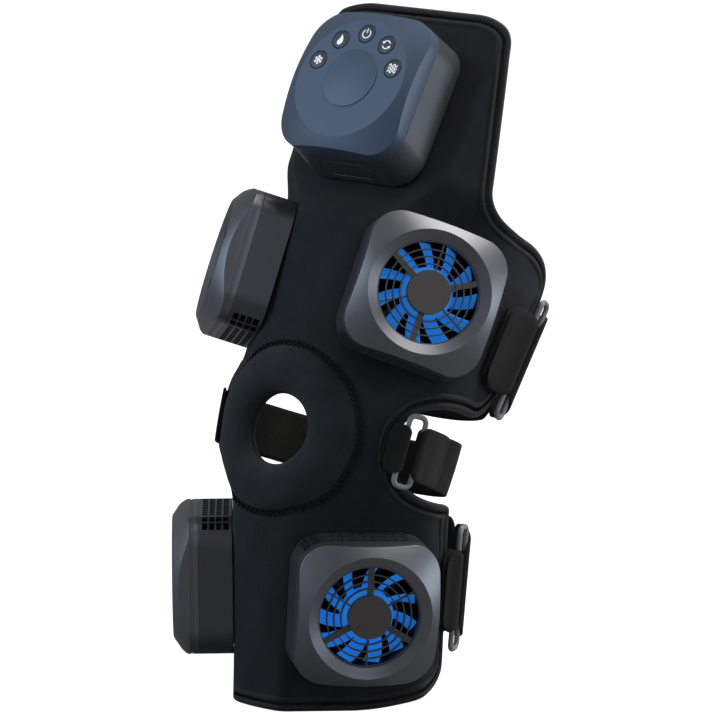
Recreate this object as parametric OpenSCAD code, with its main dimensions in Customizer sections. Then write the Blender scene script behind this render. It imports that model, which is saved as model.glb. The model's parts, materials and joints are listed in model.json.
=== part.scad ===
// Knee wrap with four fan-cooled hot and cold modules and a five-button control box.
// The lower leg runs down -Z, the kneecap faces -Y, and the thigh leans back towards +Y.
// The origin is on the leg's axis at the knee, where the shin and thigh axes cross.

/* [Leg and wrap] */
// Bend between the shin and the thigh, in degrees
knee_bend = 25.8; // [18:0.1:32]
// Length of the leg's axis over which the bend is spread
bend_len = 60; // [50:1:75]
// Radius of the wrap's outside at its bottom hem
hem_r = 66; // [63:0.5:70]
// Radius of the wrap's outside at the knee
knee_r = 71; // [69:0.5:74]
// Radius of the wrap's outside on the thigh
thigh_r = 80.5; // [78:0.5:84]
// Thickness of the neoprene
foam_t = 5; // [3:0.5:6]
// How far the wrap reaches below the knee, along the axis
wrap_below = 126; // [118:1:140]
// How far the wrap reaches above the knee, along the axis
wrap_above = 253; // [246:1:270]
// Width of the edge binding
binding_w = 8; // [5:0.5:12]
// How far the binding stands proud of the neoprene
binding_proud = 0.7; // [0.3:0.1:1.5]

/* [Wrap outline, half angles from the front in degrees] */
// Half angle of the flat part of the bottom hem
hem_half = 50; // [35:1:60]
// Half angle of the shin wing at its lower corner
shin_wing_low = 104; // [96:1:110]
// Half angle of the shin wing at its upper corner
shin_wing_high = 97; // [92:1:104]
// Half angle of the wrap between the two side notches
notch_half = 56; // [52:1:62]
// Half angle of the thigh wing at its lower corner
thigh_wing_low = 92; // [86:1:98]
// Half angle of the thigh wing at its widest
thigh_wing_high = 110; // [104:1:116]
// Half angle of the tongue where it leaves the thigh wing
tongue_low = 61; // [57:1:66]
// Half angle of the tongue at its top corner
tongue_high = 50; // [46:1:55]
// Half angle of the flat part of the top hem
top_half = 34; // [26:1:40]

/* [Thermal modules] */
// Side of a module's square outline
module_w = 78; // [74:0.5:82]
// Corner radius of a module
module_corner = 16.5; // [12:0.5:19]
// Depth of a module's rear housing
housing_d = 19; // [18.5:0.1:21]
// Height of the front cover above the housing, at its crown
cover_d = 15.5; // [15:0.1:18]
// Wall thickness of the module's shells
shell_t = 2.2; // [1.8:0.1:2.6]
// Slope of the cover's conical front, rise over run
cover_slope = 0.67; // [0.5:0.01:0.75]
// Radius at which the cone meets the bezel
bezel_r = 33; // [31:0.5:34]
// Radius of the fan's opening
fan_r = 28; // [26:0.5:28.5]
// Angle of the shin modules from the front
shin_angle = 50.8; // [47:0.1:54]
// Distance of the shin modules' seats from the leg's axis
shin_seat = 56.5; // [55:0.1:58]
// Distance of the shin modules below the knee
shin_drop = 64.4; // [60:0.1:70]
// Upward tilt of the shin modules, in degrees
shin_pitch = -3.1; // [-5:0.1:0]
// Angle of the thigh modules from the front
thigh_angle = 46.8; // [44:0.1:50]
// Distance of the thigh modules' seats from the leg's axis
thigh_seat = 69.6; // [68:0.1:71]
// Distance of the thigh modules above the knee
thigh_rise = 89.2; // [86:0.1:95]
// Upward tilt of the thigh modules, in degrees
thigh_pitch = -1.6; // [-4:0.1:1]

/* [Vents] */
// Height of a vent slot, across the housing's depth
slot_h = 3; // [2:0.1:3.4]
// Length of a vent slot, along the wall
slot_l = 4.8; // [3:0.1:5.2]
// Distance between vent rows
slot_rise = 3.9; // [3.6:0.1:4]
// Distance between vent slots along the wall
slot_pitch = 5.9; // [5.5:0.1:6.5]
// Height of the lowest vent row above the wrap
slot_first = 3.5; // [3.3:0.1:3.8]
// Number of vent slots on the straight part of a wall
slot_count = 8; // [4:1:8]
// Number of vent slots round each corner
corner_slots = 2; // [0:1:3]

/* [Fan] */
// Side of the fan's square frame
fan_w = 60; // [58:0.5:62]
// Radius of the fan frame's corners
fan_corner = 10; // [9:0.5:14]
// Depth of the fan's frame
fan_d = 12; // [11:0.5:12]
// Radius of the fan's hub
hub_r = 12; // [11:0.5:13]
// Number of fan blades
blades = 11; // [5:1:13]
// Pitch of the blades, in degrees
blade_pitch = 40; // [30:1:50]
// Thickness of a blade
blade_t = 1.2; // [1:0.1:1.6]
// Radius of the fan's shaft
shaft_r = 1.5; // [1.2:0.1:2]
// Radius of the guard's innermost wire ring
guard_ring_first = 15.7; // [15:0.1:17]
// Distance between the guard's wire rings
guard_ring_step = 3.9; // [3:0.1:4]
// Number of wire rings in the guard
guard_ring_count = 3; // [1:1:3]
// Width of a guard wire
guard_wire = 0.8; // [0.7:0.1:1.5]
// Width of the three broad spokes of the guard
guard_spoke = 3.3; // [2:0.1:4]
// Thickness of the guard
guard_t = 2; // [1.5:0.1:2.2]
// Height of the guard's centre cap above the guard
guard_cap_h = 1.8; // [1:0.1:2.5]

/* [Heat path] */
// Side of the cold plate and of the thermal tile
tile_w = 40; // [38:0.5:41]
// Thickness of the thermal tile
tile_t = 3.6; // [3:0.1:4]
// How far the cold plate reaches past the wrap's lining
plate_proud = 2.9; // [2.7:0.1:3.4]
// Side of the heat sink
sink_w = 58; // [54:0.5:59]
// Thickness of the heat sink's base
sink_base = 3; // [2:0.1:3.2]
// Height of the heat sink's fins
fin_h = 8.4; // [6:0.1:8.4]
// Thickness of a fin
fin_t = 1.2; // [0.8:0.1:1.6]
// Distance between fins
fin_pitch = 4.2; // [3.5:0.1:6]
// Side of the clamp frame inside the wrap
clamp_w = 54; // [53:0.5:54]
// Thickness of the clamp frame
clamp_t = 2.4; // [2:0.1:2.4]
// Distance of the clamp screws from the module's centre lines
clamp_screw_at = 23.9; // [23.8:0.1:24.2]

/* [Vibration motor] */
// Radius of the vibration motor
vib_r = 2.9; // [2.4:0.1:3]
// Length of the vibration motor
vib_l = 11; // [9:0.5:14]
// Length of the motor's eccentric weight
weight_l = 3.4; // [2.5:0.1:5]
// Radius of the motor's shaft
vib_shaft_r = 0.6; // [0.5:0.05:0.8]

/* [Control box] */
// Width of the control box
box_w = 80.6; // [78:0.2:84]
// Height of the control box at its front
box_h = 81.6; // [79:0.2:85]
// Corner radius of the control box
box_corner = 17; // [14:0.5:20]
// Depth of the control box, from the wrap to its face
box_d = 41; // [40:0.5:44]
// Depth at which the front shell meets the rear shell
box_seam = 27.2; // [26:0.2:28]
// How far the box's lower wall spreads towards the wrap
box_flare = 4.6; // [2:0.2:6]
// Wall thickness of the control box
box_t = 2.4; // [2:0.1:2.8]
// Thickness of the mounting plate under the box
plate_t = 2.6; // [2:0.1:3]
// Radius of the flat round area of the face
face_r = 35.5; // [34:0.5:36]
// Slope of the face outside the flat area
face_slope = 0.45; // [0.3:0.01:0.5]
// Radius of the raised disc in the middle of the face
disc_r = 17.5; // [14:0.5:19]
// Distance of the box's seat from the thigh's axis
box_seat = 59.6; // [58:0.1:61]
// Distance of the box's centre above the knee
box_rise = 190; // [186:0.5:196]
// Upward tilt of the box, in degrees
box_pitch = 3.8; // [2:0.1:5]
// Radius of a button
button_r = 5.3; // [4.5:0.1:5.6]
// Distance of the buttons from the middle of the face
button_ring = 27; // [25.5:0.1:28]
// Angle between neighbouring buttons
button_step = 36; // [32:1:38]
// Travel of a button
button_travel = 0.8; // [0.5:0.1:1]

/* [Battery, board and port] */
// Width of the battery
battery_w = 48; // [40:1:50]
// Height of the battery
battery_h = 44; // [36:1:46]
// Thickness of the battery
battery_t = 10; // [6:0.5:12]
// Side of the circuit board
board_w = 66; // [64:0.5:68]
// Thickness of the circuit board
board_t = 1.6; // [1:0.1:2]
// Distance of the board's face under the control box's face
board_deep = 9.4; // [9.2:0.1:10]
// Distance of the board's screws from its centre lines
board_screw_at = 28; // [27:0.1:29]
// Width of the charging port
port_w = 9; // [8.5:0.1:10]
// Height of the charging port
port_h = 3.3; // [3:0.1:4]
// Depth of the charging port
port_d = 7.5; // [6:0.1:9]
// Distance of the port's middle from the wrap
port_at = 14; // [12:0.2:15]
// Width of the port's cover
flap_w = 35; // [30:0.5:40]
// Height of the port's cover
flap_h = 13; // [11:0.5:14]
// Thickness of the port's cover
flap_t = 1.8; // [1.4:0.1:2]

/* [Patella pad] */
// Radius of the pad's stitched edge
pad_r = 46.5; // [44:0.5:48]
// Radius of the hole over the kneecap
hole_r = 20.4; // [18:0.2:23]
// Height of the hole's middle above the knee's centre
pad_rise = 15; // [12:0.5:17]
// How far the pad swells out of the wrap
pad_crown = 5; // [3:0.2:7]
// How far the pad's edge rolls into the hole
pad_roll = 4; // [2:0.2:5]

/* [Straps] */
// Width of the upper and lower straps
wide_strap = 60; // [50:1:62]
// Width of the middle strap
slim_strap = 30; // [26:1:34]
// Middle of the upper strap, along the leg's axis above the knee
upper_strap_at = 83; // [80:1:86]
// Middle of the middle strap, along the leg's axis above the knee
middle_strap_at = 12; // [10:1:15]
// Middle of the lower strap, along the leg's axis below the knee
lower_strap_at = 60; // [56:1:64]
// Thickness of the strap webbing
web_t = 1.6; // [1.2:0.1:2]
// Radius of the bars of a slot ring
bar_r = 1.5; // [1.2:0.1:1.8]
// Distance between the two long bars of a ring
ring_w = 10; // [9:0.5:14]
// Length of the folded-back end of a strap
fold_len = 34; // [25:1:40]
// Angle of the upper ring past the edge of the wrap
upper_ring_past = -3; // [-5:0.5:3]
// Angle of the middle ring past the notch in the wrap's edge
middle_ring_past = 7; // [6:0.5:12]
// Angle of the lower ring past the edge of the wrap
lower_ring_past = 4; // [3:0.5:6]
// How far the upper strap pulls in behind the leg
upper_pull = 7; // [0:0.5:10]
// How far the middle strap pulls in behind the leg
middle_pull = 13; // [4:0.5:14]
// How far the lower strap pulls in behind the leg
lower_pull = 4; // [0:0.5:8]
// Length of the sewn part of the upper strap and of its keeper
upper_sewn = 24; // [18:1:30]
// Length of the sewn part of the middle strap's keeper
middle_sewn = 9; // [8:0.5:16]
// Length of the sewn end of the middle strap
middle_end = 24; // [16:1:30]
// Length of the sewn part of the lower strap and of its keeper
lower_sewn = 11; // [8:0.5:12]

/* [Clearances] */
// Gap between a module or the box and the wrap
seat_gap = 0.3; // [0.2:0.05:0.4]
// Gap round pieces that drop into a pocket
drop_gap = 0.3; // [0.2:0.05:0.4]
// Radial gap of a shaft in its bearing
run_gap = 0.05; // [0.02:0.01:0.1]
// Gap between layers of webbing
web_gap = 0.5; // [0.4:0.05:0.6]
// Gap between the pad and the wrap where they are stitched
stitch_gap = 0.3; // [0.2:0.05:0.4]

/* [Hidden] */

$fn = 48;
eps = 0.01;

// ---- the leg's surface ----
bend_r = bend_len / (knee_bend * PI / 180);
bend_out = bend_r * tan(knee_bend / 2);
axis_shift = bend_out - bend_len / 2;
u_low = -wrap_below;
u_top = wrap_above;
shin_u = axis_shift - shin_drop;
thigh_u = thigh_rise - axis_shift;
box_u = box_rise - axis_shift;
knee_u = 10;
full_thigh_u = 115;
seat_fade = 28;
seat_margin = 1;
far = 300;

function ease(t) = let (c = min(1, max(0, t))) c * c * (3 - 2 * c);
function mix(a, b, t) = a + (b - a) * t;
function corner(t) = let (c = min(1, max(0, t))) sqrt(1 - (1 - c) * (1 - c));

function leg_r(u) =
    u < knee_u ? mix(hem_r, knee_r, (u - u_low) / (knee_u - u_low))
    : mix(knee_r, thigh_r, min(1, (u - knee_u) / (full_thigh_u - knee_u)));

// Flat seats: angle, distance, place, tilt, lowest and highest place of the flat
seat_reach = module_w / 2 + seat_margin;
seats = [
    for (s = [-1, 1]) [s * shin_angle, shin_seat, shin_u, shin_pitch, -far, shin_u + seat_reach],
    for (s = [-1, 1])
        [s * thigh_angle, thigh_seat, thigh_u, thigh_pitch, thigh_u - seat_reach, thigh_u + seat_reach],
    [0, box_seat, box_u, box_pitch, box_u - box_h / 2 - box_flare, far]
];

function seat_cut(s, phi, u, off, r) =
    abs(phi - s[0]) > 70 ? r
    : let (flat = (s[1] + off - tan(s[3]) * (u - s[2])) / cos(phi - s[0]),
           w = 1 - ease(max(s[4] - u, u - s[5]) / seat_fade))
      mix(r, min(r, flat), w);
function skin_r(phi, u, off) = let (r = leg_r(u) + off) min([for (s = seats) seat_cut(s, phi, u, off, r)]);

// Axis point and lean of the cross section at u: [y, z, lean]
function axis_at(u) =
    u <= -bend_len / 2 ? [0, u - axis_shift, 0]
    : u >= bend_len / 2 ? [(u + axis_shift) * sin(knee_bend), (u + axis_shift) * cos(knee_bend), knee_bend]
    : let (a = (u / bend_len + 0.5) * knee_bend) [bend_r * (1 - cos(a)), bend_r * sin(a) - bend_out, a];
function leg_pt(phi, u, r) =
    let (c = axis_at(u), f = -r * cos(phi)) [r * sin(phi), c[0] + f * cos(c[2]), c[1] - f * sin(c[2])];
function skin_pt(phi, u, off) = leg_pt(phi, u, skin_r(phi, u, off));

// ---- the wrap's outline: half angle of its edge at u ----
low_corner_u = u_low + 22;
notch_low_u = -11;
notch_mid_u = 13;
notch_high_u = 41;
wing_full_u = 97;
wing_top_u = 125;
shoulder_u = 142;
tongue_u = 160;
top_corner_u = u_top - 17;
shoulder_half = (tongue_low + thigh_wing_high) / 2;

function edge_half(u) =
    u < low_corner_u ? mix(hem_half, shin_wing_low, corner((u - u_low) / (low_corner_u - u_low)))
    : u < notch_low_u ? mix(shin_wing_low, shin_wing_high, (u - low_corner_u) / (notch_low_u - low_corner_u))
    : u < notch_mid_u ? mix(shin_wing_high, notch_half, corner((u - notch_low_u) / (notch_mid_u - notch_low_u)))
    : u < notch_high_u
      ? mix(thigh_wing_low, notch_half, corner((notch_high_u - u) / (notch_high_u - notch_mid_u)))
    : u < wing_full_u
      ? mix(thigh_wing_low, thigh_wing_high, corner((u - notch_high_u) / (wing_full_u - notch_high_u)))
    : u < wing_top_u ? thigh_wing_high
    : u < shoulder_u
      ? mix(shoulder_half, thigh_wing_high, corner((shoulder_u - u) / (shoulder_u - wing_top_u)))
    : u < tongue_u ? mix(shoulder_half, tongue_low, corner((u - shoulder_u) / (tongue_u - shoulder_u)))
    : u < top_corner_u ? mix(tongue_low, tongue_high, (u - tongue_u) / (top_corner_u - tongue_u))
    : mix(top_half, tongue_high, corner((u_top - u) / (u_top - top_corner_u)));

// Rows of the wrap's grid: even runs, and runs that crowd towards the steep end of a round corner
function run(a, b, n) = [for (i = [0:n - 1]) mix(a, b, i / n)];
function steep_first(a, b, n) = [for (i = [0:n - 1]) mix(a, b, 1 - cos(90 * i / n))];
function steep_last(a, b, n) = [for (i = [0:n - 1]) mix(a, b, sin(90 * i / n))];
rows = concat(
    steep_first(u_low, low_corner_u, 4),
    run(low_corner_u, shin_u + seat_reach, 4),
    run(shin_u + seat_reach, notch_low_u, 1),
    steep_first(notch_low_u, notch_mid_u, 5),
    steep_last(notch_mid_u, notch_high_u, 5),
    steep_first(notch_high_u, thigh_u - seat_reach, 2),
    run(thigh_u - seat_reach, wing_full_u, 2),
    run(wing_full_u, wing_top_u, 2),
    steep_last(wing_top_u, shoulder_u, 4),
    steep_first(shoulder_u, tongue_u, 4),
    run(tongue_u, top_corner_u, 4),
    steep_last(top_corner_u, u_top, 4),
    [u_top]
);
side_cells = 7;
hem_rows = 2;
row_n = len(rows);
col_n = 2 * side_cells + 1;

// Angle of column j, counted from -side_cells to side_cells, on row u; the wrap and its binding lie gap apart
function col_phi(j, u, gap) =
    let (edge = edge_half(u), strip = (binding_w - gap) / leg_r(u) * 180 / PI)
    abs(j) == side_cells ? sign(j) * edge : j / (side_cells - 1) * (edge - strip);
function row_at(i, gap) = i == hem_rows ? rows[i] - gap : i == row_n - 1 - hem_rows ? rows[i] + gap : rows[i];

function in_binding(i, j) = i < hem_rows || i >= row_n - 1 - hem_rows || j == 0 || j == col_n - 2;
function in_grid(i, j) = i >= 0 && j >= 0 && i < row_n - 1 && j < col_n - 1;

// A sheet made of the grid's cells that lie in the binding (edge = true) or inside it
module grid_sheet(edge, off_in, off_out) {
    per = row_n * col_n;
    function at(i, j, side) = side * per + i * col_n + j;
    function has(i, j) = in_grid(i, j) && in_binding(i, j) == edge;
    gap = edge ? stitch_gap : 0;
    pts = [
        for (off = [off_in, off_out], i = [0:row_n - 1], j = [-side_cells:side_cells])
            skin_pt(col_phi(j, rows[i], gap), row_at(i, gap), off)
    ];
    faces = [
        for (i = [0:row_n - 2], j = [0:col_n - 2]) if (has(i, j)) each [
            [at(i, j, 1), at(i + 1, j, 1), at(i + 1, j + 1, 1)],
            [at(i, j, 1), at(i + 1, j + 1, 1), at(i, j + 1, 1)],
            [at(i, j, 0), at(i + 1, j + 1, 0), at(i + 1, j, 0)],
            [at(i, j, 0), at(i, j + 1, 0), at(i + 1, j + 1, 0)],
            if (!has(i, j - 1)) each wall(at(i, j, 0), at(i + 1, j, 0), at(i, j, 1), at(i + 1, j, 1)),
            if (!has(i, j + 1))
                each far_wall(at(i + 1, j + 1, 0), at(i, j + 1, 0), at(i + 1, j + 1, 1), at(i, j + 1, 1)),
            if (!has(i - 1, j)) each wall(at(i, j + 1, 0), at(i, j, 0), at(i, j + 1, 1), at(i, j, 1)),
            if (!has(i + 1, j))
                each far_wall(at(i + 1, j, 0), at(i + 1, j + 1, 0), at(i + 1, j, 1), at(i + 1, j + 1, 1))
        ]
    ];
    polyhedron(pts, faces);
}
// Two walls that face each other across the seam are split along the same diagonal
function wall(a0, b0, a1, b1) = [[a0, b0, b1], [a0, b1, a1]];
function far_wall(a0, b0, a1, b1) = [[a0, b0, a1], [b0, b1, a1]];

// ---- frames of the modules, the box and the kneecap: x across, y up, z outwards from the wrap ----
module at_shin(side) {
    rotate([0, 0, side * shin_angle]) translate([0, -shin_seat, -shin_drop]) rotate([90 - shin_pitch, 0, 0])
        children();
}
module at_thigh(side) {
    rotate([-knee_bend, 0, 0]) rotate([0, 0, side * thigh_angle]) translate([0, -thigh_seat, thigh_rise])
        rotate([90 - thigh_pitch, 0, 0]) children();
}
module at_box() {
    rotate([-knee_bend, 0, 0]) translate([0, -box_seat, box_rise]) rotate([90 - box_pitch, 0, 0]) children();
}
module at_knee() {
    rotate([90 - knee_bend / 2, 0, 0]) children();
}
module at_every_module() {
    for (side = [-1, 1]) {
        at_thigh(side) children();
        at_shin(side) children();
    }
}
module at_corners(x, y) {
    for (i = [-1, 1], j = [-1, 1]) translate([i * x, j * y, 0]) children();
}

// Square outline with round corners
module round_square(w, r, h = undef) {
    tall = is_undef(h) ? w : h;
    square([w - 2 * r, tall], center = true);
    square([w, tall - 2 * r], center = true);
    at_corners(w / 2 - r, tall / 2 - r) circle(r);
}
module plate(z0, z1, w, r, h = undef) {
    translate([0, 0, z0]) linear_extrude(z1 - z0) round_square(w, r, h);
}
module post(z0, z1, r) {
    translate([0, 0, z0]) cylinder(h = z1 - z0, r = r);
}

// ---- wrap ----
window_w = tile_w + 2;
plate_top = 1;
sink_z = plate_top + tile_t;
plate_bottom = -foam_t - plate_proud;
clamp_z = -foam_t - seat_gap - clamp_t;
clamp_screw_r = 1.25;

module wrap_body() {
    color("#1d2027") difference() {
        grid_sheet(false, -foam_t, 0);
        at_knee() translate([0, pad_rise, 0]) cylinder(h = far, r = pad_r);
        at_every_module() {
            plate(-3 * foam_t, foam_t, window_w, 3);
            at_corners(clamp_screw_at, clamp_screw_at) post(-3 * foam_t, foam_t, clamp_screw_r + drop_gap);
            plate(-3 * foam_t, -foam_t, clamp_w + 2 * drop_gap, 4);
            plate(0, 3 * foam_t, module_w + 2 * drop_gap, module_corner);
        }
        at_box() plate(0, 3 * foam_t, box_w, box_corner);
    }
}
module edge_binding() {
    color("#0e0f12") grid_sheet(true, -foam_t - binding_proud, binding_proud);
}

// Depth of the knee's surface along the kneecap's axis, in the kneecap's frame
knee_mid = [bend_r * (1 - cos(knee_bend / 2)), bend_r * sin(knee_bend / 2) - bend_out];
knee_back = knee_mid[0] * cos(knee_bend / 2) - knee_mid[1] * sin(knee_bend / 2);
function knee_depth(x, y, off) =
    let (q = bend_r + sqrt(pow(knee_r + off, 2) - x * x)) sqrt(q * q - y * y) - bend_r - knee_back;

// The pad is a ring in the wrap, with a swollen outside that rolls into the hole
pad_turns = 36;
pad_steps = 8;
pad_inner_steps = 2;
module patella_pad() {
    edge_r = pad_r - stitch_gap;
    ring_n = pad_steps + pad_inner_steps + 2;
    function swell(t) = pad_crown * sin(180 * pow(t, 0.8)) - pad_roll * pow(1 - t, 6);
    function at_ring(k) =
        k <= pad_steps
        ? [mix(edge_r, hole_r, k / pad_steps), swell(1 - k / pad_steps)]
        : let (t = (k - pad_steps - 1) / pad_inner_steps) [mix(hole_r, edge_r, t), -foam_t];
    pts = [
        for (k = [0:ring_n - 1], i = [0:pad_turns - 1])
            let (ring = at_ring(k), a = 360 * i / pad_turns,
                 x = ring[0] * cos(a), y = ring[0] * sin(a) + pad_rise)
            [x, y, knee_depth(x, y, ring[1])]
    ];
    faces = [
        for (k = [0:ring_n - 1], i = [0:pad_turns - 1])
            let (k1 = (k + 1) % ring_n, i1 = (i + 1) % pad_turns,
                 a = k * pad_turns + i, b = k * pad_turns + i1, c = k1 * pad_turns + i1, d = k1 * pad_turns + i)
            each [[a, b, c], [a, c, d]]
    ];
    color("#17191f") at_knee() polyhedron(pts, faces);
}

// ---- straps, rings and keepers ----
loop_r = bar_r + web_gap + web_t / 2;
layer = web_t + web_gap;

// Webbing runs over the wrap at this height, clear of the binding
web_h = binding_proud + web_gap + web_t / 2;
bar_h = web_h + loop_r;

function strap_lo(s) = s[0] - s[1] / 2;
function strap_hi(s) = s[0] + s[1] / 2;
function wing_half(s) = max([for (u = [strap_lo(s), s[0], strap_hi(s)]) edge_half(u)]);
function ring_phi(s) = s[2];
function band_slope(s) = (leg_r(strap_hi(s)) - leg_r(strap_lo(s))) / s[1];
// A point of webbing, which is straight across its width: r from the leg's axis at the strap's middle
function band_pt(s, phi, u, r) =
    let (d = u - s[0], lean = axis_at(s[0])[2])
    leg_pt(phi, s[0], r + band_slope(s) * d) + d * [0, sin(lean), cos(lean)];
function arc_deg(s, len) = len / leg_r(s[0]) * 180 / PI;

// A strap: its middle, width, angle of its ring, pull behind the leg, length of its keeper and of its sewn end
upper = [upper_strap_at, wide_strap, wing_half([upper_strap_at, wide_strap]) + upper_ring_past, upper_pull,
         upper_sewn, upper_sewn];
middle = [middle_strap_at, slim_strap, notch_half + middle_ring_past, middle_pull, middle_sewn,
          middle_end];
lower = [-lower_strap_at, wide_strap, wing_half([-lower_strap_at, wide_strap]) + lower_ring_past, lower_pull,
         lower_sewn, lower_sewn];

// A point beside the ring, x along the wrap and z outwards from the bars, as [angle, height]
function beside(s, x, z) =
    let (r = leg_r(s[0]) + bar_h + z) [ring_phi(s) + atan(x / r), sqrt(x * x + r * r) - leg_r(s[0])];

// Half turn of webbing round a bar: from under it (side = 1 turns at the +x side) to over it
function half_turn(s, bar_x, side) =
    [for (a = [-90:30:90]) beside(s, bar_x + side * loop_r * cos(a), loop_r * sin(a))];

// Keeper: sewn to the wing, under the near bar, round it and back on top of itself
function keeper_line(s) =
    let (bar = -ring_w / 2, start = bar - s[4], down = min(9, 0.7 * s[4]))
    concat(
        [for (x = [start, (start + bar) / 2]) [ring_phi(s) + arc_deg(s, x), web_h]],
        half_turn(s, bar, 1),
        [for (x = [bar - down, start + 1]) [ring_phi(s) + arc_deg(s, x), web_h + layer]]
    );

// Height of a strap on its way round the back, from the ring to the other wing
function strap_h(s, phi) =
    let (a = ring_phi(s) + arc_deg(s, ring_w / 2), b = 360 - wing_half(s))
    web_h - s[3] * ease((phi - a) / 30) * ease((b - phi) / 30);

// Strap: folded end, over the far bar, round it, and behind the leg to the other wing
strap_cells = 24;
function strap_line(s) =
    let (bar = ring_w / 2, phi0 = ring_phi(s) + arc_deg(s, bar + 5),
         phi1 = 360 - wing_half(s) + arc_deg(s, s[5]),
         fold = ring_phi(s) + arc_deg(s, bar + fold_len), down = ring_phi(s) + arc_deg(s, bar + 11))
    concat(
        [for (phi = [fold, (fold + down) / 2, down]) [phi, strap_h(s, phi) + layer]],
        [for (i = [6:-1:0]) half_turn(s, bar, -1)[i]],
        [for (i = [0:strap_cells]) let (phi = mix(phi0, phi1, i / strap_cells)) [phi, strap_h(s, phi)]]
    );

// Webbing of thickness web_t along a line of [angle, height] points, between two places on the leg's axis
function unit(v) = v / norm(v);
module ribbon(line, s, w) {
    n = len(line);
    xy = [for (p = line) let (r = leg_r(s[0]) + p[1]) [r * sin(p[0]), -r * cos(p[0])]];
    step = [for (i = [0:n - 2]) unit(xy[i + 1] - xy[i])];
    function face_pt(i, side, u) =
        let (d = unit(step[max(0, i - 1)] + step[min(n - 2, i)]),
             q = xy[i] + side * web_t / 2 * [d[1], -d[0]])
        band_pt(s, atan2(q[0], -q[1]), u, norm(q));
    us = [s[0] - w / 2, s[0] + w / 2];
    pts = [for (i = [0:n - 1], u = us, side = [-1, 1]) face_pt(i, side, u)];
    body = [for (i = [0:n - 2]) let (a = 4 * i, b = a + 4) each [
        [a + 1, b + 1, b + 3], [a + 1, b + 3, a + 3],
        [a, a + 2, b + 2], [a, b + 2, b],
        [a, b, b + 1], [a, b + 1, a + 1],
        [a + 2, a + 3, b + 3], [a + 2, b + 3, b + 2]
    ]];
    e = 4 * (n - 1);
    ends = [[0, 1, 3], [0, 3, 2], [e, e + 3, e + 1], [e, e + 2, e + 3]];
    polyhedron(pts, concat(body, ends));
}

module strap(s) {
    color("#15161a") ribbon(strap_line(s), s, s[1]);
}
module upper_strap() strap(upper);
module middle_strap() strap(middle);
module lower_strap() strap(lower);
module ring_keepers() {
    color("#17181c") for (s = [upper, middle, lower]) ribbon(keeper_line(s), s, s[1] - 2);
}

// A ring of round bar, its long sides along the leg
module slot_ring(s) {
    len_in = s[1] + 6;
    slope = atan(band_slope(s));
    bend = bar_r + 2;
    color("#8b9099") translate(band_pt(s, ring_phi(s), s[0], leg_r(s[0]) + bar_h)) rotate([-axis_at(s[0])[2], 0, 0])
        rotate([0, 0, ring_phi(s)]) rotate([90 + slope, 0, 0]) {
            for (m = [0, 1]) mirror([m, 0, 0]) translate([ring_w / 2, 0, 0]) rotate([90, 0, 0])
                cylinder(h = len_in - 2 * bend + 2 * bar_r, r = bar_r, center = true);
            for (m = [0, 1]) mirror([0, m, 0]) translate([0, len_in / 2 + bar_r, 0]) rotate([0, 90, 0])
                cylinder(h = ring_w - 2 * bend, r = bar_r, center = true);
            for (i = [0, 1], j = [0, 1]) mirror([i, 0, 0]) mirror([0, j, 0])
                translate([ring_w / 2 - bend, len_in / 2 + bar_r - bend, 0])
                    rotate_extrude(angle = 90) translate([bend, 0]) circle(bar_r);
        }
}
module upper_ring() slot_ring(upper);
module middle_ring() slot_ring(middle);
module lower_ring() slot_ring(lower);

// ---- one thermal module, built up from the skin outwards ----
inner_w = module_w - 2 * shell_t;
inner_corner = module_corner - shell_t;
fan_top = housing_d + 9;
fan_z = fan_top - fan_d;
guard_z = fan_top + 0.2;
cover_top = housing_d + cover_d;
screw_head_r = 2.4;
screw_head_h = 1.2;
floor_t = 1.6;
boss_top = sink_z - 0.4;
vib_x = -(sink_w / 2 + inner_w / 2) / 2;
vib_z = seat_gap + floor_t + vib_r + 0.8;

module vent_slots() {
    across = [for (i = [0:slot_count - 1]) (i - (slot_count - 1) / 2) * slot_pitch];
    corner_mid = module_w / 2 - module_corner;
    step = slot_pitch / module_corner * 180 / PI;
    for (row = [0:3]) translate([0, 0, slot_first + row * slot_rise]) {
        for (x = across) translate([x, module_w / 2, 0]) cube([slot_l, 4 * shell_t, slot_h], center = true);
        if (corner_slots > 0) for (m = [0, 1], i = [1:corner_slots])
            mirror([m, 0, 0]) translate([corner_mid, corner_mid, 0]) rotate([0, 0, -i * step])
                translate([0, module_corner, 0]) cube([slot_l, 4 * shell_t, slot_h], center = true);
    }
}
// The vents are in the wall that faces the knee: vent_side = 1 for the upper wall, -1 for the lower one
module housing(vent_side) {
    color("#4a4c50") difference() {
        union() {
            difference() {
                plate(seat_gap, housing_d, module_w, module_corner);
                plate(seat_gap + floor_t, housing_d + 1, inner_w, inner_corner);
                if (vent_side > 0) vent_slots();
                else mirror([0, 1, 0]) vent_slots();
            }
            at_corners(clamp_screw_at, clamp_screw_at) post(seat_gap + floor_t / 2, boss_top, 2.4);
            translate([vib_x, 0, (seat_gap + vib_z) / 2]) cube([4, vib_l - 3, vib_z - seat_gap - 1], center = true);
        }
        plate(0, 2 * floor_t, tile_w + 1, 2);
        at_corners(clamp_screw_at, clamp_screw_at) post(0, boss_top - 0.4, clamp_screw_r + run_gap);
        translate([vib_x, 0, vib_z]) rotate([90, 0, 0])
            cylinder(h = vib_l + 1, r = vib_r + run_gap, center = true);
    }
}

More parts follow.
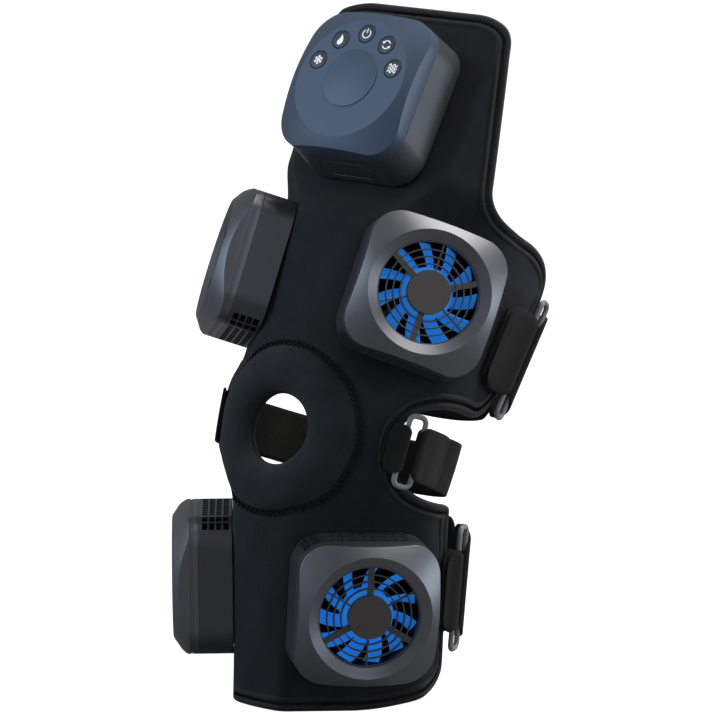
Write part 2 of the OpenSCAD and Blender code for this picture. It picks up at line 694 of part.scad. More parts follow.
// Solid of the cover's outside, made smaller all round by t
module cover_form(t) {
    rim_z = cover_top + cover_slope * bezel_r;
    intersection() {
        plate(housing_d, cover_top, module_w - 2 * t, module_corner - t);
        translate([0, 0, -t * sqrt(1 + cover_slope * cover_slope)])
            cylinder(h = rim_z, r1 = rim_z / cover_slope, r2 = 0);
    }
}
groove = 0.8;
lip_h = 1.2;
module front_cover() {
    bezel_low = guard_z + guard_t + 0.3;
    color("#505256") difference() {
        union() {
            difference() {
                cover_form(0);
                difference() {
                    plate(housing_d - 1, housing_d + groove, module_w + 2, module_corner);
                    plate(housing_d - 2, housing_d + 2 * groove, module_w - 2 * groove, module_corner - groove);
                }
            }
            plate(housing_d - lip_h, housing_d + 1, inner_w - 2 * drop_gap, inner_corner - drop_gap);
        }
        intersection() {
            cover_form(shell_t);
            post(housing_d + lip_h, bezel_low, far);
        }
        plate(housing_d - 2 * lip_h, housing_d + 2, inner_w - 4, inner_corner - 2);
        post(0, bezel_low, fan_r + 2.6);
        post(0, far, fan_r);
        translate([0, 0, bezel_low + 1]) cylinder(h = cover_top - bezel_low - 1 + eps, r1 = fan_r, r2 = bezel_r);
    }
}
// Guard: wire rings on three broad and three thin spokes, with a cap in the middle
module fan_guard(turn) {
    rim_r = fan_r + 2.3;
    color("#55575b") rotate([0, 0, turn]) union() {
        difference() {
            post(guard_z, guard_z + guard_t, rim_r);
            post(0, far, fan_r - 0.4);
        }
        for (i = [0:guard_ring_count - 1]) difference() {
            post(guard_z + 0.4, guard_z + guard_t - 0.2, guard_ring_first + i * guard_ring_step + guard_wire / 2);
            post(0, far, guard_ring_first + i * guard_ring_step - guard_wire / 2);
        }
        for (i = [0:5]) rotate([0, 0, -90 + 60 * i]) {
            w = i % 2 == 0 ? guard_spoke : guard_wire;
            translate([hub_r / 2, -w / 2, guard_z + 0.2]) cube([fan_r - hub_r / 2, w, guard_t - 0.6]);
        }
        post(guard_z, guard_z + guard_t + guard_cap_h, hub_r);
    }
}
bearing_r = 3;
bearing_top = fan_top - 4;
module fan_frame() {
    base_t = 1.4;
    color("#202226") difference() {
        union() {
            difference() {
                plate(fan_z, fan_top, fan_w, fan_corner);
                post(0, far, fan_r + 0.5);
            }
            post(fan_z, fan_z + base_t, hub_r + 0.6);
            for (a = [45:90:315]) rotate([0, 0, a]) translate([hub_r, -1.5, fan_z])
                cube([fan_r - hub_r + 1.5, 3, base_t]);
            post(fan_z, bearing_top - 3, hub_r - 3);
            post(fan_z, bearing_top, bearing_r);
        }
        post(0, far, shaft_r + run_gap);
    }
}
module fan_rotor() {
    low = fan_z + 2;
    high = fan_top - 0.8;
    color("#2387e1") union() {
        difference() {
            post(low, high, hub_r);
            post(low - 1, high - 1.6, hub_r - 1.4);
        }
        post(fan_z + 0.5, high - 1, shaft_r);
        for (i = [0:blades - 1]) rotate([0, 0, 360 * i / blades]) intersection() {
            difference() {
                post(low + 0.3, high - 0.4, fan_r - 0.8);
                post(0, far, hub_r - 0.5);
            }
            translate([fan_r / 2, 0, (low + high) / 2]) rotate([blade_pitch, 0, 0])
                cube([fan_r, blade_t, 4 * fan_d], center = true);
            translate([hub_r / 2, -hub_r, 0]) cube([fan_r, 2 * hub_r, far]);
        }
    }
}
module heat_sink() {
    n = floor((sink_w - fin_t) / fin_pitch / 2);
    color("#b9bcc0") union() {
        plate(sink_z, sink_z + sink_base, sink_w, 2);
        for (i = [-n:n]) translate([i * fin_pitch - fin_t / 2, 4 - sink_w / 2, sink_z])
            cube([fin_t, sink_w - 8, sink_base + fin_h]);
    }
}
module cold_plate() {
    chamfer = 0.6;
    color("#c3c6ca") union() {
        plate(plate_bottom, plate_bottom + chamfer, tile_w - 2 * chamfer, 2);
        plate(plate_bottom + chamfer, plate_top, tile_w, 2);
    }
}
module vib_weight() {
    color("#9a8c74") translate([vib_x, 0, vib_z]) rotate([-90, 0, 0]) union() {
        translate([0, 0, -vib_l / 2 + 2]) cylinder(h = vib_l + weight_l - 1.5, r = vib_shaft_r);
        translate([0, 0, vib_l / 2 + 0.8]) intersection() {
            cylinder(h = weight_l, r = vib_r - 0.2);
            translate([0, vib_r - vib_shaft_r, 0]) cube([2 * vib_r, 2 * vib_r, 4 * weight_l], center = true);
        }
    }
}
module vibration_motors() {
    color("#8f949a") at_every_module() translate([vib_x, 0, vib_z]) rotate([-90, 0, 0]) difference() {
        cylinder(h = vib_l, r = vib_r, center = true);
        translate([0, 0, 1.5 - vib_l / 2]) cylinder(h = vib_l, r = vib_shaft_r + run_gap);
    }
}
module thermal_tiles() {
    color("#e8e6df") at_every_module() plate(plate_top, sink_z, tile_w, 1);
}
module clamp_frames() {
    color("#33353a") at_every_module() difference() {
        plate(clamp_z, clamp_z + clamp_t, clamp_w, 4);
        plate(clamp_z - 1, 0, tile_w + 2 * drop_gap, 2 + drop_gap);
        at_corners(clamp_screw_at, clamp_screw_at) {
            post(clamp_z - 1, 0, clamp_screw_r + run_gap);
            post(clamp_z - 1, clamp_z + screw_head_h + run_gap, screw_head_r + run_gap);
        }
    }
}
module clamp_screws() {
    color("#8f949a") at_every_module() at_corners(clamp_screw_at, clamp_screw_at) union() {
        post(clamp_z, clamp_z + screw_head_h, screw_head_r);
        post(clamp_z, boss_top - 1, clamp_screw_r);
    }
}

module housing_thigh_right() at_thigh(1) housing(-1);
module housing_thigh_left() at_thigh(-1) housing(-1);
module housing_shin_right() at_shin(1) housing(1);
module housing_shin_left() at_shin(-1) housing(1);
module cover_thigh_right() at_thigh(1) front_cover();
module cover_thigh_left() at_thigh(-1) front_cover();
module cover_shin_right() at_shin(1) front_cover();
module cover_shin_left() at_shin(-1) front_cover();
module guard_thigh_right() at_thigh(1) fan_guard(0);
module guard_thigh_left() at_thigh(-1) fan_guard(0);
module guard_shin_right() at_shin(1) fan_guard(180);
module guard_shin_left() at_shin(-1) fan_guard(180);
module fan_frame_thigh_right() at_thigh(1) fan_frame();
module fan_frame_thigh_left() at_thigh(-1) fan_frame();
module fan_frame_shin_right() at_shin(1) fan_frame();
module fan_frame_shin_left() at_shin(-1) fan_frame();
module rotor_thigh_right() at_thigh(1) fan_rotor();
module rotor_thigh_left() at_thigh(-1) fan_rotor();
module rotor_shin_right() at_shin(1) fan_rotor();
module rotor_shin_left() at_shin(-1) fan_rotor();
module heat_sink_thigh_right() at_thigh(1) heat_sink();
module heat_sink_thigh_left() at_thigh(-1) heat_sink();
module heat_sink_shin_right() at_shin(1) heat_sink();
module heat_sink_shin_left() at_shin(-1) heat_sink();
module cold_plate_thigh_right() at_thigh(1) cold_plate();
module cold_plate_thigh_left() at_thigh(-1) cold_plate();
module cold_plate_shin_right() at_shin(1) cold_plate();
module cold_plate_shin_left() at_shin(-1) cold_plate();
module vib_weight_thigh_right() at_thigh(1) vib_weight();
module vib_weight_thigh_left() at_thigh(-1) vib_weight();
module vib_weight_shin_right() at_shin(1) vib_weight();
module vib_weight_shin_left() at_shin(-1) vib_weight();

// ---- control box: z = 0 on the wrap, y up, its lower wall spreads towards the wrap ----
rear_z = seat_gap + plate_t;
straight_d = box_seam + 4;
pin_r = 1.5;
lean = atan(box_flare / straight_d);
function flare_at(z) = box_flare * (straight_d - z) / straight_d;
// Outside of the box between two depths, made smaller all round by t: a straight block and a leaning one
module box_form(z0, z1, t) {
    plate(z0, z1, box_w - 2 * t, box_corner - t, box_h - 2 * t);
    intersection() {
        translate([0, -box_h / 2, straight_d]) rotate([-lean, 0, 0]) translate([0, box_h / 2, 0])
            plate(-2 * box_d, 0, box_w - 2 * t, box_corner - t, box_h - 2 * t);
        plate(z0, z1, 4 * box_w, box_corner);
    }
}
// The front of the box above z0, under its cone: the face is flat in the middle and falls away outside it
module face_form(z0, t) {
    rim_z = box_d + face_slope * face_r - t;
    spread = flare_at(box_seam);
    intersection() {
        translate([0, -spread / 2, 0])
            plate(z0, box_d - t, box_w - 2 * t, box_corner - t, box_h + spread - 2 * t);
        cylinder(h = rim_z, r1 = rim_z / face_slope, r2 = 0);
    }
}
face_under = box_d - box_t;
flange_t = 1.2;
flange_top = face_under - drop_gap;
stem_low = flange_top - flange_t - 1.6;
switch_top = stem_low - button_travel - 0.2;
board_top = box_d - board_deep;
board_screw_r = 1;
disc_h = 0.5;
button_angles = [for (i = [2:-1:-2]) 90 + i * button_step];

module at_button(i) {
    rotate([0, 0, button_angles[i]]) translate([button_ring, 0, 0]) children();
}
module control_front_shell() {
    color("#5a6a7e") at_box() difference() {
        union() {
            difference() {
                face_form(box_seam, 0);
                face_form(box_seam - 1, box_t);
            }
            at_corners(board_screw_at, board_screw_at) post(board_top, face_under - 1, 2.6);
            post(face_under + 1, box_d + disc_h, disc_r);
        }
        for (i = [0:4]) at_button(i) post(0, far, button_r + drop_gap);
        at_corners(board_screw_at, board_screw_at) post(0, board_top + 4, board_screw_r + run_gap);
    }
}
// The port's frame lies on the lower wall: x across, y towards the face, z out of the wall
module at_port() {
    translate([0, -box_h / 2 - flare_at(port_at), port_at]) rotate([90 - lean, 0, 0]) children();
}
function flap_round(h) = h / 2 - 0.5;
module flap_shape(w, h, d) {
    linear_extrude(d) round_square(w, flap_round(h), h);
}
pocket_z = -flap_t - drop_gap;
pocket_floor = 1.5;
module control_rear_shell() {
    color("#3f4146") at_box() difference() {
        union() {
            difference() {
                box_form(rear_z, box_seam, 0);
                box_form(rear_z + box_t, box_seam + 1, box_t);
            }
            intersection() {
                box_form(rear_z, box_seam, box_t / 2);
                at_port() translate([0, 0, pocket_z - pocket_floor])
                    flap_shape(flap_w + 4, flap_h + 4, flap_t + pocket_floor);
            }
        }
        at_port() translate([0, 0, pocket_z]) flap_shape(flap_w + 2 * drop_gap, flap_h + 2 * drop_gap, far);
        at_port() cube([port_w + 2 * drop_gap, port_h + 2 * drop_gap, 12], center = true);
        at_corners(board_screw_at, board_screw_at) post(0, rear_z + box_t + 1, pin_r + run_gap);
    }
}
module control_plate() {
    color("#26282c") at_box() union() {
        translate([0, -box_flare / 2, 0])
            plate(seat_gap, rear_z, box_w - 4, box_corner - 2, box_h + box_flare - 4);
        at_corners(board_screw_at, board_screw_at) post(seat_gap, rear_z + box_t + 0.6, pin_r);
    }
}
module button(i) {
    color("#56667a") at_box() at_button(i) union() {
        post(flange_top - flange_t, box_d + 0.2, button_r);
        post(flange_top - flange_t, flange_top, button_r + 1.3);
        post(stem_low, flange_top, 1.8);
    }
}
module cold_button() button(0);
module heat_button() button(1);
module power_button() button(2);
module contrast_button() button(3);
module vibration_button() button(4);
module circuit_board() {
    color("#1f5a3a") at_box() difference() {
        union() {
            plate(board_top - board_t, board_top, board_w, 5);
            for (i = [0:4]) at_button(i) {
                post(board_top - board_t / 2, switch_top - 0.6, 3);
                post(board_top, switch_top, 1.7);
            }
            plate(board_top - board_t - 2, board_top - board_t / 2, 14, 1);
        }
        at_corners(board_screw_at, board_screw_at) post(0, far, board_screw_r + drop_gap);
    }
}
module board_screws() {
    low = board_top - board_t - 1.2;
    color("#a2a6ab") at_box() at_corners(board_screw_at, board_screw_at) union() {
        post(low, board_top - board_t, 2 * board_screw_r);
        post(low, board_top + 3.6, board_screw_r);
    }
}
module battery_pack() {
    color("#3a5f8f") at_box() translate([0, 6, 0])
        plate(rear_z + box_t, rear_z + box_t + battery_t, battery_w, 3, battery_h);
}
module charging_port() {
    wall = 0.4;
    flange = 0.8;
    round_r = port_h / 2 - 0.1;
    color("#c3c6ca") at_box() at_port() translate([0, 0, pocket_z]) difference() {
        union() {
            translate([0, 0, -port_d]) linear_extrude(port_d) round_square(port_w, round_r, port_h);
            translate([0, 0, -pocket_floor - flange]) linear_extrude(flange)
                square([port_w + 3, port_h + 4], center = true);
        }
        translate([0, 0, 1.5 - port_d]) linear_extrude(port_d) difference() {
            round_square(port_w - 2 * wall, round_r - wall, port_h - 2 * wall);
            square([port_w - 4, 0.7], center = true);
        }
    }
}
// The cover's edge nearest the wrap is a barrel that turns in the pocket, clear of its round corners
hinge_y = flap_t / 2 - flap_h / 2;
corner_room = sqrt(drop_gap * (2 * flap_round(flap_h) + drop_gap)) - 2 * run_gap;
barrel_w = flap_w - 2 * flap_round(flap_h) + 2 * corner_room;
module port_cover() {
    color("#1b1c1f") at_box() at_port() intersection() {
        translate([0, 0, -flap_t]) flap_shape(flap_w, flap_h, flap_t);
        union() {
            translate([0, hinge_y, -flap_t / 2]) rotate([0, 90, 0])
                cylinder(h = barrel_w, r = flap_t / 2, center = true);
            translate([-barrel_w / 2, hinge_y, -flap_t]) cube([barrel_w, flap_h, flap_t]);
            translate([-flap_w / 2, hinge_y + flap_t / 2 + drop_gap, -flap_t]) cube([flap_w, flap_h, flap_t]);
        }
    }
}

wrap_body();
edge_binding();
patella_pad();
upper_strap();
middle_strap();
lower_strap();
upper_ring();
middle_ring();
lower_ring();
ring_keepers();
housing_thigh_right();
housing_thigh_left();
housing_shin_right();
housing_shin_left();
cover_thigh_right();
cover_thigh_left();
cover_shin_right();
cover_shin_left();
guard_thigh_right();
guard_thigh_left();
guard_shin_right();
guard_shin_left();
fan_frame_thigh_right();
fan_frame_thigh_left();
fan_frame_shin_right();
fan_frame_shin_left();
rotor_thigh_right();
rotor_thigh_left();
rotor_shin_right();
rotor_shin_left();
heat_sink_thigh_right();
heat_sink_thigh_left();
heat_sink_shin_right();
heat_sink_shin_left();
cold_plate_thigh_right();
cold_plate_thigh_left();
cold_plate_shin_right();
cold_plate_shin_left();
vib_weight_thigh_right();
vib_weight_thigh_left();
vib_weight_shin_right();
vib_weight_shin_left();
vibration_motors();
thermal_tiles();
clamp_frames();
clamp_screws();
control_plate();
control_rear_shell();
control_front_shell();
cold_button();
heat_button();
power_button();
contrast_button();
vibration_button();
circuit_board();
battery_pack();
charging_port();
port_cover();
board_screws();
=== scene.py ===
import bpy
import bmesh
import json
import math
import numpy as np
from mathutils import Matrix, Vector
from mathutils.geometry import delaunay_2d_cdt

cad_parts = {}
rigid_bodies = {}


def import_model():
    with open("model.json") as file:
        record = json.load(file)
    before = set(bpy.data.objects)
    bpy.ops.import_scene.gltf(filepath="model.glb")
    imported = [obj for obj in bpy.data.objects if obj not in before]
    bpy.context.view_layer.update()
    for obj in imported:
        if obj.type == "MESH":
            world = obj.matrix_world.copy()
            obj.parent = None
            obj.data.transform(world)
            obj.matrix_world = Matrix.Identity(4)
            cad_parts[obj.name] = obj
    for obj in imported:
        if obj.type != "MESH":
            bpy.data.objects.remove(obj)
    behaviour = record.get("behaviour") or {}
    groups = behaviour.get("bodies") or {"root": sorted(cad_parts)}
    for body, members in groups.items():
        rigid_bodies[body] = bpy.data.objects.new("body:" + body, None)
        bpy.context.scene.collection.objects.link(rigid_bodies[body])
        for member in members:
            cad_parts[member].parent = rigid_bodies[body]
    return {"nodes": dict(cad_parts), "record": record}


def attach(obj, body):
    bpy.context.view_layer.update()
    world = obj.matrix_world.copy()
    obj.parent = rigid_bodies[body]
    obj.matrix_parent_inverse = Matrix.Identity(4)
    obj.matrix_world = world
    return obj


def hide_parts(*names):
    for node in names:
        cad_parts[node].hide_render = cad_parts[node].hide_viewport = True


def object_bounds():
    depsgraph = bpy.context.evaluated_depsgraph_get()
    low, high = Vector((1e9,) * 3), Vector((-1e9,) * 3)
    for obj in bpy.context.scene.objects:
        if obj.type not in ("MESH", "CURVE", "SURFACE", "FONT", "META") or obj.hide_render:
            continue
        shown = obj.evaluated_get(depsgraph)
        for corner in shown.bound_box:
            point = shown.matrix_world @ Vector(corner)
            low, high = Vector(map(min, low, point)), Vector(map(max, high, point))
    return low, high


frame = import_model()
nodes = frame["nodes"]
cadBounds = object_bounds()
for obj in bpy.data.objects:
    obj.select_set(False)
mm = 0.001
print("frame loaded:", len(nodes), "nodes")

# ---- camera: a long lens on the photograph's side ----
cameraSetup = {"azimuth": 37.457, "elevation": 9.459, "roll": 2.633, "distance": 2.43388,
               "right": 0.008495, "up": 0.059455, "lens": 218.735}


def makeCamera(s):
    az, el, roll = (math.radians(s[k]) for k in ("azimuth", "elevation", "roll"))
    back = Vector((math.sin(az) * math.cos(el), -math.cos(az) * math.cos(el), math.sin(el)))
    right = Vector((math.cos(az), math.sin(az), 0))
    up = back.cross(right)
    r2 = right * math.cos(roll) + up * math.sin(roll)
    u2 = up * math.cos(roll) - right * math.sin(roll)
    place = back * s["distance"] + right * s["right"] + up * s["up"]
    data = bpy.data.cameras.new("photoCamera")
    data.lens = s["lens"]
    data.sensor_width = 36
    data.clip_end = 50
    cam = bpy.data.objects.new("photoCamera", data)
    bpy.context.scene.collection.objects.link(cam)
    cam.matrix_world = Matrix.Translation(place) @ Matrix((r2, u2, back)).transposed().to_4x4()
    bpy.context.scene.camera = cam


makeCamera(cameraSetup)

# ---- materials ----
def startMaterial(name):
    mat = bpy.data.materials.new(name)
    mat.use_nodes = True
    tree = mat.node_tree
    return mat, tree, tree.nodes["Principled BSDF"]


def addNode(tree, kind, **values):
    node = tree.nodes.new(kind)
    for key, value in values.items():
        if hasattr(node, key):
            setattr(node, key, value)
        else:
            node.inputs[key.replace("_", " ")].default_value = value
    return node


def ramp(tree, source, low, high, start=0.3, end=0.7):
    node = tree.nodes.new("ShaderNodeValToRGB")
    node.color_ramp.elements[0].position = start
    node.color_ramp.elements[1].position = end
    node.color_ramp.elements[0].color = (*low, 1)
    node.color_ramp.elements[1].color = (*high, 1)
    tree.links.new(source, node.inputs["Fac"])
    return node


def shade(color, by):
    return tuple(min(1, c * by) for c in color)


def plasticMaterial(name, color, metallic, roughness, grain, edge, spread=0.06, paintedGlow=0.0):
    mat, tree, bsdf = startMaterial(name)
    link = tree.links.new
    place = addNode(tree, "ShaderNodeTexCoord")
    fine = addNode(tree, "ShaderNodeTexNoise", Scale=2600.0, Detail=2.0)
    broad = addNode(tree, "ShaderNodeTexNoise", Scale=45.0, Detail=3.0)
    link(place.outputs["Object"], fine.inputs["Vector"])
    link(place.outputs["Object"], broad.inputs["Vector"])
    tint = ramp(tree, broad.outputs["Fac"], shade(color, 1 - spread), shade(color, 1 + spread))
    link(tint.outputs["Color"], bsdf.inputs["Base Color"])
    rough = addNode(tree, "ShaderNodeMapRange", To_Min=roughness - 0.05, To_Max=roughness + 0.06)
    link(broad.outputs["Fac"], rough.inputs["Value"])
    link(rough.outputs["Result"], bsdf.inputs["Roughness"])
    bump = addNode(tree, "ShaderNodeBump", Strength=grain, Distance=0.00004)
    link(fine.outputs["Fac"], bump.inputs["Height"])
    if edge:
        bevel = addNode(tree, "ShaderNodeBevel", Radius=edge * mm)
        bevel.samples = 4
        link(bevel.outputs["Normal"], bump.inputs["Normal"])
    link(bump.outputs["Normal"], bsdf.inputs["Normal"])
    bsdf.inputs["Metallic"].default_value = metallic
    # painted glow: emission of the part's own colour, which brightens it beyond what the lamps give
    if paintedGlow:
        link(tint.outputs["Color"], bsdf.inputs["Emission Color"])
        bsdf.inputs["Emission Strength"].default_value = paintedGlow
    return mat


# scale of the wave texture that makes one thread a unit wide
threadScale = 0.31416


def clothMaterial(name, color, period, depth, sheen, roughness=0.9, spread=0.25):
    mat, tree, bsdf = startMaterial(name)
    link = tree.links.new
    place = addNode(tree, "ShaderNodeTexCoord")
    waves = []
    for axis, size in zip("XY", period):
        wave = addNode(tree, "ShaderNodeTexWave", Scale=threadScale / size, Distortion=0.6, Detail=1.0,
                       Detail_Scale=2.0)
        wave.bands_direction = axis
        link(place.outputs["UV"], wave.inputs["Vector"])
        waves.append(wave)
    weave = addNode(tree, "ShaderNodeMath", operation="MULTIPLY")
    link(waves[0].outputs["Fac"], weave.inputs[0])
    link(waves[1].outputs["Fac"], weave.inputs[1])
    mottle = addNode(tree, "ShaderNodeTexNoise", Scale=60.0, Detail=5.0, Roughness=0.7)
    link(place.outputs["Object"], mottle.inputs["Vector"])
    lint = addNode(tree, "ShaderNodeTexNoise", Scale=1500.0, Detail=2.0)
    link(place.outputs["Object"], lint.inputs["Vector"])
    tint = ramp(tree, mottle.outputs["Fac"], shade(color, 1 - spread), shade(color, 1 + spread))
    threads = ramp(tree, weave.outputs["Value"], shade((1, 1, 1), 0.55), (1, 1, 1), 0.0, 0.6)
    mixer = addNode(tree, "ShaderNodeMix", data_type="RGBA", blend_type="MULTIPLY")
    mixer.inputs[0].default_value = 0.8
    link(tint.outputs["Color"], mixer.inputs[6])
    link(threads.outputs["Color"], mixer.inputs[7])
    link(mixer.outputs[2], bsdf.inputs["Base Color"])
    height = addNode(tree, "ShaderNodeMath", operation="ADD")
    link(weave.outputs["Value"], height.inputs[0])
    link(lint.outputs["Fac"], height.inputs[1])
    bump = addNode(tree, "ShaderNodeBump", Strength=1.0, Distance=depth * mm)
    link(height.outputs["Value"], bump.inputs["Height"])
    link(bump.outputs["Normal"], bsdf.inputs["Normal"])
    bsdf.inputs["Roughness"].default_value = roughness
    bsdf.inputs["Sheen Weight"].default_value = sheen
    bsdf.inputs["Sheen Roughness"].default_value = 0.5
    bsdf.inputs["Specular IOR Level"].default_value = 0.25
    return mat


def metalMaterial(name, color, roughness):
    mat, tree, bsdf = startMaterial(name)
    link = tree.links.new
    place = addNode(tree, "ShaderNodeTexCoord")
    stretch = addNode(tree, "ShaderNodeMapping")
    stretch.inputs["Scale"].default_value = (1, 1, 0.04)
    link(place.outputs["Object"], stretch.inputs["Vector"])
    lines = addNode(tree, "ShaderNodeTexNoise", Scale=2200.0, Detail=3.0)
    link(stretch.outputs["Vector"], lines.inputs["Vector"])
    tint = ramp(tree, lines.outputs["Fac"], shade(color, 0.9), shade(color, 1.05))
    link(tint.outputs["Color"], bsdf.inputs["Base Color"])
    bump = addNode(tree, "ShaderNodeBump", Strength=0.3, Distance=0.00002)
    link(lines.outputs["Fac"], bump.inputs["Height"])
    link(bump.outputs["Normal"], bsdf.inputs["Normal"])
    bsdf.inputs["Metallic"].default_value = 1.0
    bsdf.inputs["Roughness"].default_value = roughness
    return mat


finish = {
    "neoprene": clothMaterial("neopreneJersey", (0.0172, 0.0198, 0.0262), (0.9, 0.7), 0.10, 0.05),
    # the pad's jersey is the neoprene jersey made lighter and bluer: painted light on the kneecap pad's front
    "padClothPaintedLighter": clothMaterial("padJerseyPaintedLighter", (0.021, 0.0245, 0.0325), (0.9, 0.7), 0.10, 0.05),
    "binding": clothMaterial("bindingTape", (0.011, 0.012, 0.0145), (0.8, 0.6), 0.10, 0.12, 0.55),
    "webbing": clothMaterial("loopWebbing", (0.0105, 0.011, 0.0112), (0.8, 0.7), 0.16, 0.06, 0.9, 0.3),
    "thread": clothMaterial("stitchThread", (0.0015, 0.0015, 0.002), (0.4, 0.4), 0.05, 0.03),
    "ring": plasticMaterial("greyAcetal", (0.2, 0.215, 0.24), 0.0, 0.35, 0.15, 0.4),
    "shell": plasticMaterial("gunmetalLacquer", (0.075, 0.08, 0.095), 0.7, 0.38, 0.2, 0.5),
    "cover": plasticMaterial("gunmetalCover", (0.142, 0.15, 0.174), 0.85, 0.4, 0.2, 0.0),
    "guard": plasticMaterial("guardPlastic", (0.06, 0.056, 0.055), 0.1, 0.45, 0.2, 0.3),
    # the fan blades carry a painted glow (emission 0.4) that brightens them inside the shaded fan well
    "fan": plasticMaterial("blueFan", (0.018, 0.25, 0.85), 0.0, 0.35, 0.1, 0.3, 0.15, 0.4),
    "fanFrame": plasticMaterial("blackFanFrame", (0.004, 0.0042, 0.005), 0.0, 0.6, 0.3, 0.3),
    "black": plasticMaterial("blackPlastic", (0.012, 0.0125, 0.014), 0.0, 0.45, 0.3, 0.4),
    "face": plasticMaterial("boxFace", (0.06, 0.095, 0.152), 0.3, 0.45, 0.2, 0.0),
    "cap": plasticMaterial("buttonCap", (0.032, 0.045, 0.07), 0.2, 0.42, 0.2, 0.0),
    "rear": plasticMaterial("boxRear", (0.085, 0.093, 0.108), 0.55, 0.38, 0.2, 0.8),
    "sink": metalMaterial("blackAnodised", (0.012, 0.012, 0.014), 0.5),
    "aluminium": metalMaterial("millAluminium", (0.55, 0.56, 0.58), 0.32),
    "steel": metalMaterial("plainSteel", (0.45, 0.46, 0.48), 0.25),
    "ceramic": plasticMaterial("whiteCeramic", (0.75, 0.74, 0.7), 0.0, 0.6, 0.3, 0.2),
    "board": plasticMaterial("greenBoard", (0.02, 0.12, 0.06), 0.0, 0.35, 0.2, 0.1),
    "battery": plasticMaterial("batteryWrap", (0.04, 0.11, 0.28), 0.0, 0.3, 0.1, 0.6),
    # the white signs carry a faint painted glow (emission 0.35) that brightens them beyond their lighting
    "print": plasticMaterial("whitePrint", (0.85, 0.87, 0.9), 0.0, 0.5, 0.05, 0.0, 0.03, 0.35),
}
dress = [("housing_", "shell"), ("cover_", "cover"), ("guard_", "guard"), ("fan_frame_", "fanFrame"),
         ("rotor_", "fan"), ("heat_sink_", "sink"), ("cold_plate_", "aluminium"), ("vib_weight_", "steel"),
         ("vibration_motors", "steel"), ("thermal_tiles", "ceramic"), ("clamp_frames", "black"),
         ("clamp_screws", "steel"), ("control_plate", "black"), ("control_rear_shell", "rear"),
         ("control_front_shell", "face"), ("circuit_board", "board"), ("battery_pack", "battery"),
         ("charging_port", "steel"), ("port_cover", "rear"), ("board_screws", "steel"),
         ("wrap_body", "neoprene"), ("edge_binding", "binding"), ("patella_pad", "padClothPaintedLighter"),
         ("ring_keepers", "webbing")]
for name, obj in nodes.items():
    kind = next((k for start, k in dress if name.startswith(start)), None)
    if kind is None:
        kind = "cap" if name.endswith("button") else "ring" if name.endswith("ring") else "webbing"
    obj.data.materials.clear()
    obj.data.materials.append(finish[kind])
nodeBody = {node: body for body, held in frame["record"]["behaviour"]["bodies"].items() for node in held}
print("materials made:", len(finish))

# ---- the leg's surface, in millimetres ----
leg = {"bend": 25.8, "bendLength": 60.0, "hemRadius": 66.0, "kneeRadius": 71.0, "thighRadius": 80.5,
       "kneeAt": 10.0, "fullThighAt": 115.0, "foam": 5.0, "low": -126.0, "top": 253.0,
       "seatBlend": 2.4, "seatFade": 28.0, "seatSpan": 70.0}
module = {"width": 78.0, "corner": 16.5,
          "shinAngle": 50.8, "shinSeat": 56.5, "shinDrop": 64.4, "shinPitch": -3.1,
          "thighAngle": 46.8, "thighSeat": 69.6, "thighRise": 89.2, "thighPitch": -1.6}
box = {"width": 80.6, "height": 81.6, "corner": 17.0, "depth": 41.0, "seam": 27.2,
       "flare": 4.6, "flareRun": 4.0, "seat": 59.6, "rise": 190.0, "pitch": 3.8}
bendRadius = leg["bendLength"] / math.radians(leg["bend"])
bendOut = bendRadius * math.tan(math.radians(leg["bend"] / 2))
axisShift = bendOut - leg["bendLength"] / 2
reach = module["width"] / 2 + 1
far = 900.0
shinAt = axisShift - module["shinDrop"]
thighAt = module["thighRise"] - axisShift
boxAt = box["rise"] - axisShift
# flat seats of the modules and the box: angle, distance, place, pitch, and from where to where
seats = []
for side in (-1, 1):
    seats.append((side * module["shinAngle"], module["shinSeat"], shinAt, module["shinPitch"],
                  -far, shinAt + reach))
    seats.append((side * module["thighAngle"], module["thighSeat"], thighAt, module["thighPitch"],
                  thighAt - reach, thighAt + reach))
seats.append((0, box["seat"], boxAt, box["pitch"], boxAt - box["height"] / 2 - box["flare"], far))


def ease(t):
    c = np.clip(t, 0, 1)
    return c * c * (3 - 2 * c)


def mix(a, b, t):
    return a + (b - a) * t


def legRadius(u):
    below = mix(leg["hemRadius"], leg["kneeRadius"], (u - leg["low"]) / (leg["kneeAt"] - leg["low"]))
    above = mix(leg["kneeRadius"], leg["thighRadius"],
                np.minimum(1, (u - leg["kneeAt"]) / (leg["fullThighAt"] - leg["kneeAt"])))
    return np.where(u < leg["kneeAt"], below, above)


def skinRadius(phi, u, off):
    r = legRadius(u) + off
    out = r
    span, blend = leg["seatSpan"], leg["seatBlend"]
    for angle, seat, place, tilt, low, high in seats:
        d = phi - angle
        rise = seat + off - math.tan(math.radians(tilt)) * (u - place)
        flat = rise / np.cos(np.radians(np.clip(d, -span, span)))
        h = np.clip(0.5 + 0.5 * (flat - r) / blend, 0, 1)
        soft = flat * (1 - h) + r * h - blend * h * (1 - h)
        w = 1 - ease(np.maximum(low - u, u - high) / leg["seatFade"])
        out = np.where(np.abs(d) < span, np.minimum(out, mix(r, np.minimum(soft, r), w)), out)
    return out


def axisAt(u):
    lean = np.clip(u / leg["bendLength"] + 0.5, 0, 1) * leg["bend"]
    a = np.radians(lean)
    past = np.maximum(u - leg["bendLength"] / 2, 0)
    before = np.minimum(u + leg["bendLength"] / 2, 0)
    y = bendRadius * (1 - np.cos(a)) + past * math.sin(math.radians(leg["bend"]))
    z = bendRadius * np.sin(a) - bendOut + past * math.cos(math.radians(leg["bend"])) + before
    return y, z, a


